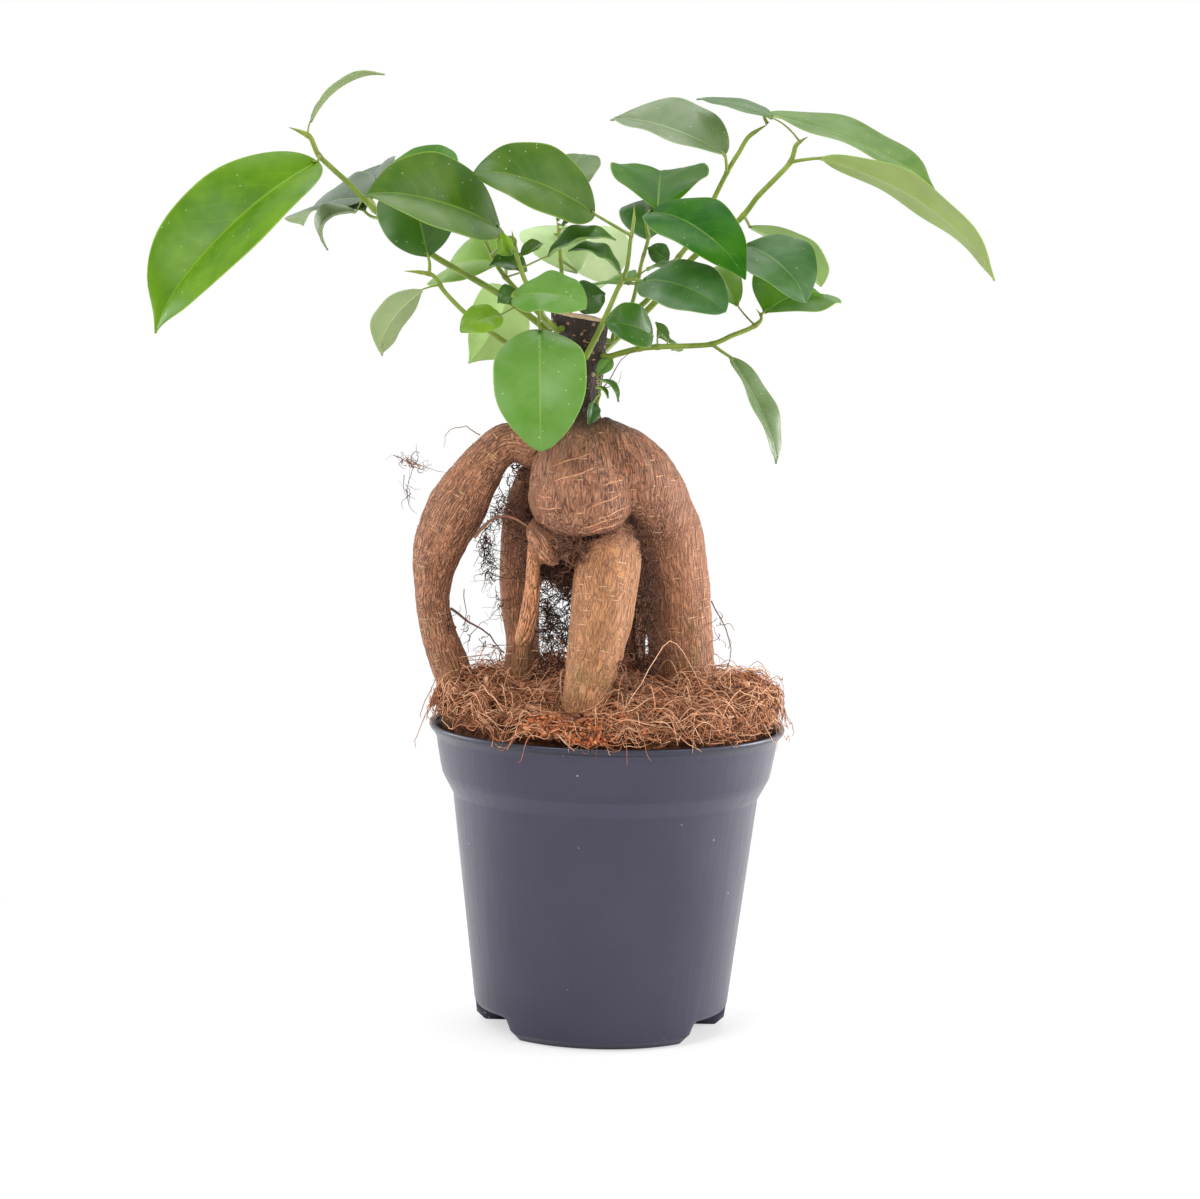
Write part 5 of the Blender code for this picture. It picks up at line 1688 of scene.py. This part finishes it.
def shoot_mesh(name, tree):
    """A shoot with swollen joints where its leaves stand, and a pointed bud."""
    path = shoot_path(name, tree)
    seat, root = Vector(path[0][:3]), Vector(path[1][:3])
    foot = seat - (root - seat).normalized() * 1.6
    smooth = spline_points([(*foot, path[0][3]), *path], 4)
    length = sum((Vector(b[:3]) - Vector(a[:3])).length for a, b in zip(smooth, smooth[1:]))
    rows = max(24, int(length / 0.55))
    even = resample(smooth, rows)
    station = np.linspace(0.0, length, rows)
    first_radius, last_radius = SHOOTS[name][1:]
    radius = 0.74 * (first_radius + (last_radius - first_radius) * station / length)
    tone = 0.3 * np.exp(-((station / 3.0) ** 2)) + 0.22 * smooth_step((station / length - 0.55) / 0.4)
    for place in [leaf[1] for leaf in LEAVES.values() if leaf[0] == name]:
        away = np.linalg.norm(even[:, :3] - np.array(place_on(path, place)[0]), axis=1)
        joint = np.exp(-((away / JOINT_REACH) ** 2))
        radius = radius * (1.0 + 0.2 * joint)
        tone = tone + 0.30 * joint
    radius = radius + 0.3 * first_radius * np.exp(-((station / 1.8) ** 2))
    bud = np.clip((length - station) / BUD_LENGTH, 0.0, 1.0)
    radius = radius * np.where(bud < 1, 0.05 + 0.95 * bud**0.9, 1.0)
    mesh = tubes(f"stem_{name}", even[None, :, :3] * MM, radius[None] * MM, STEM_SIDES, tone[None])
    with edited(mesh) as bm:
        bmesh.ops.holes_fill(bm, edges=bm.edges)
    mesh.shade_smooth()
    return mesh


class FICUS_OT_shoots(Operator):
    """Makes the grafted shoots with their joints and buds"""

    bl_idname = "ficus.shoots"
    bl_label = "Shoots"

    def execute(self, context):
        finish = shoot_finish(context.scene.ficus_shoots)
        tree = search_tree(frame["nodes"]["trunk_and_roots"].data)
        for name in SHOOTS:
            stem = add_object(f"stem_{name}", shoot_mesh(name, tree), finish)
            dress(stem, "shoot_skin", f"shoot_{name}")
        return {"FINISHED"}


# Leaves


class FicusLeafSettings(PropertyGroup):
    gloss: FloatProperty(
        name="Roughness", description="Roughness of the leaves' upper faces", default=0.34, min=0, max=1,
        subtype="FACTOR",
    )
    thickness: length_value("Thickness", "Thickness of a blade", LEAF_THICKNESS, 0.2)
    rows: IntProperty(name="Rows", description="Mesh rows along a blade", default=40, min=12)
    seed: IntProperty(name="Seed", description="Seed of the waves of the leaves' margins", default=3)


def leaf_frame(base, tip, face):
    """Unit vectors along a blade, across it and out of its upper face."""
    along = (tip - base).normalized()
    up = Vector(face)
    up = (up - along * up.dot(along)).normalized()
    return along, along.cross(up), up


def blade_surface(leaf, rows, phase):
    """Points in millimetres of a blade's middle surface, with each point's place in the blade."""
    _, _, base, tip, width, face, arch, fold, hook, wave, round_tip, round_base, _ = leaf
    base, tip, fold = Vector(base), Vector(tip), math.radians(fold)
    _, across, up = (np.array(vector) for vector in leaf_frame(base, tip, face))
    u = (0.5 - 0.5 * np.cos(np.linspace(0.0, math.pi, rows + 1)))[:, None]
    s = np.linspace(-1.0, 1.0, BLADE_COLUMNS + 1)[None]
    v = np.sign(s) * np.abs(s) ** 1.4
    slim = np.clip(((tip - base).length / width - 1.3) / 1.4, 0.0, 1.0)
    tip_point = 1.0 - round_tip
    tip_power = 0.5 + (TIP_BLUNTNESS - 0.5 + 0.16 * slim) * tip_point
    base_power = 0.5 + (BASE_BLUNTNESS - 0.5 + 0.10 * slim) * (1.0 - round_base)
    to_tip = np.maximum(u - WIDEST, 0.0) / (1.0 - WIDEST)
    to_base = np.maximum(WIDEST - u, 0.0) / WIDEST
    share = np.maximum(1.0 - to_tip**2.0, 0.0) ** tip_power
    share = share * np.maximum(1.0 - to_base**2.2, 0.0) ** base_power
    share = share * (1.0 - 0.45 * tip_point * smooth_step((u - 0.86) / 0.14))
    half = np.maximum(0.5 * width * share, np.where(u < 0.5, 0.5 * PETIOLE_WIDTH, 0.25))
    away, side = np.abs(v), np.sign(v)
    crease = np.sqrt(v * v + 0.003) - 0.055
    lift = half * math.sin(fold) * crease + arch * 4 * u * (1 - u)
    lift = lift + 0.035 * half * np.sin(math.pi * away)
    veins = VEIN_PAIRS * (u - 0.30 * away**1.3) + 0.22 * side
    lift = lift + 0.10 * np.sin(2 * math.pi * veins) * np.sin(math.pi * away)
    waves = np.sin(2 * math.pi * (2.3 * u + phase + 0.35 * side))
    lift = lift + wave * waves * away**2 * np.minimum(1, half / 4)
    lift = lift - hook * np.clip((u - 0.78) / 0.22, 0, 1) ** 2
    middle = np.array(base) + np.array(tip - base) * u[..., None]
    out = half * v * (math.cos(fold) + 0.02 * np.sin(2 * math.pi * (1.7 * u + phase)))
    points = middle + across * out[..., None] + up * lift[..., None]
    return points, *np.broadcast_arrays(u, v, half)


def blade_quads(rows, columns):
    """Quads of a blade's upper face, of its rim and of its underside."""
    count = (rows + 1) * (columns + 1)
    upper = np.arange(count).reshape(rows + 1, columns + 1)
    loop = np.concatenate([upper[0, :-1], upper[:-1, -1], upper[-1, :0:-1], upper[:0:-1, 0]])
    following = np.roll(loop, -1)
    rim = np.stack([loop, loop + count, following + count, following], -1)
    return [quads_between(upper), rim, quads_between(upper + count, True)]


def petiole_tube(leaf, path):
    """Centres and radii in millimetres of a leaf's stalk, from inside the shoot to the blade."""
    _, place, base, tip, width, face, arch, *_ = leaf
    base, tip = Vector(base), Vector(tip)
    along, _, up = leaf_frame(base, tip, face)
    centre, direction = place_on(path, place)
    out = (base - centre).normalized()
    sideways = out - direction * out.dot(direction)
    if sideways.length > 0.4:
        out = sideways.normalized()
    reach = (base - centre).length
    start = centre + out * 0.3
    neck = base - along * reach * 0.5
    into = base + along * 1.6 + up * arch * 0.25
    middle = (start + out * reach * 0.5).lerp(neck, 0.5)
    curve = [start.lerp(middle, t).lerp(middle.lerp(base, t), t) for t in (0.0, 0.25, 0.5, 0.75, 1.0)]
    path = resample(spline_points([tuple(point) for point in [*curve, into]], 6), STALK_ROWS)
    share = np.linspace(0, 1, STALK_ROWS)
    radii = np.interp(share, (0, 0.12, 0.7, 0.9, 1), (0.75, 0.58, 0.5, 0.48, 0.3))
    return path, radii * (1.0 if width > 14 else 0.55)


def leaf_mesh(name, leaf, path, settings, rng):
    """One leaf: upper face, underside with a raised midrib, rim and stalk."""
    points, u, v, half = blade_surface(leaf, settings.rows, rng.uniform(0, 1))
    along = unit(np.gradient(points, axis=0))
    across = unit(np.gradient(points, axis=1))
    normal = unit(np.cross(across, along))
    near = np.exp(-((v * half / 0.75) ** 2)) * (1.0 - 0.75 * u)
    skin = 0.5 * settings.thickness / MM * (1.0 - 0.6 * np.abs(v) ** 12)
    upper = points + normal * (skin - 0.28 * near)[..., None]
    lower = points - normal * (skin + 0.42 * near)[..., None]
    stalk, radii = petiole_tube(leaf, path)
    stalk_mesh = tubes("stalk", stalk[None], radii[None], STALK_SIDES)
    stalk_points = points_of(stalk_mesh)
    stalk_quads = np.array([tuple(face.vertices) for face in stalk_mesh.polygons]) + 2 * u.size
    bpy.data.meshes.remove(stalk_mesh)
    quads = [*blade_quads(settings.rows, BLADE_COLUMNS), stalk_quads]
    every = np.concatenate([upper.reshape(-1, 3), lower.reshape(-1, 3), stalk_points]) * MM
    corners = np.concatenate(quads)
    mesh = mesh_from_arrays(f"blade_{name}", every, corners)
    materials = np.repeat((0, 0, 1, 2), [len(part) for part in quads])
    mesh.polygons.foreach_set("material_index", materials.astype(np.int32))
    place = np.stack([0.5 + 0.5 * v, u], -1).reshape(-1, 2)
    place = np.concatenate([place, place, np.zeros((len(stalk_points), 2))])
    layer = mesh.uv_layers.new(name="blade")
    layer.data.foreach_set("uv", place[corners.ravel()].astype(np.float32).ravel())
    set_values(mesh, "tone", np.r_[np.zeros(2 * u.size), np.full(len(stalk_points), 0.12)])
    mesh.set_sharp_from_angle(angle=SHARP_ANGLE)
    return mesh


class FICUS_OT_leaves(Operator):
    """Makes the leaves, each with its veins, rim and stalk"""

    bl_idname = "ficus.leaves"
    bl_label = "Leaves"

    def execute(self, context):
        settings = context.scene.ficus_leaves
        rng = np.random.default_rng(settings.seed)
        tree = search_tree(frame["nodes"]["trunk_and_roots"].data)
        paths = {name: shoot_path(name, tree) for name in SHOOTS}
        uppers, lowers = {}, {}
        for key, (colour, lit, back, reflects) in LEAF_FINISHES.items():
            uppers[key] = leaf_finish(key, colour, lit, reflects, settings.gloss)
            lowers[key] = leaf_back_finish(key, back)
        stalk = shoot_finish(context.scene.ficus_shoots)
        for name, leaf in (LEAVES | YOUNG_LEAVES).items():
            mesh = leaf_mesh(name, leaf, paths[leaf[0]], settings, rng)
            blade = add_object(f"blade_{name}", mesh, uppers[leaf[-1]], lowers[leaf[-1]], stalk)
            slot = "leaf_pale" if "pale" in name or "young" in name else "leaf_green"
            dress(blade, slot, *([f"leaf_{name}"] if name in LEAVES else []))
        return {"FINISHED"}


# Sidebar


SETTINGS = {
    "ficus_stage": FicusStageSettings,
    "ficus_pot": FicusPotSettings,
    "ficus_bark": FicusBarkSettings,
    "ficus_rootlets": FicusRootletSettings,
    "ficus_coir": FicusCoirSettings,
    "ficus_shoots": FicusShootSettings,
    "ficus_leaves": FicusLeafSettings,
}
OPERATORS = (
    FICUS_OT_stage, FICUS_OT_pot, FICUS_OT_trunk, FICUS_OT_rootlets, FICUS_OT_coir, FICUS_OT_fibres,
    FICUS_OT_shoots, FICUS_OT_leaves,
)


class FICUS_PT_panel(Panel):
    """Lists the plant's pieces with their sizes and colours"""

    bl_idname = "FICUS_PT_panel"
    bl_label = "Ginseng Ficus Bonsai"
    bl_space_type = "VIEW_3D"
    bl_region_type = "UI"
    bl_category = "Ficus"

    def draw(self, context):
        for operator in OPERATORS:
            self.layout.operator(operator.bl_idname)
        for name, group in SETTINGS.items():
            box = self.layout.box()
            for key in group.__annotations__:
                box.prop(getattr(context.scene, name), key)


def register():
    for group in SETTINGS.values():
        bpy.utils.register_class(group)
    for cls in (*OPERATORS, FICUS_PT_panel):
        bpy.utils.register_class(cls)
    for name, group in SETTINGS.items():
        setattr(bpy.types.Scene, name, PointerProperty(type=group))


def unregister():
    for name in SETTINGS:
        delattr(bpy.types.Scene, name)
    for cls in (FICUS_PT_panel, *reversed(OPERATORS), *reversed(SETTINGS.values())):
        bpy.utils.unregister_class(cls)


def main():
    register()
    bpy.ops.ficus.stage()
    bpy.ops.ficus.pot()
    bpy.ops.ficus.trunk()
    bpy.ops.ficus.rootlets()
    bpy.ops.ficus.coir()
    bpy.ops.ficus.fibres()
    bpy.ops.ficus.shoots()
    bpy.ops.ficus.leaves()


if __name__ == "__main__":
    main()
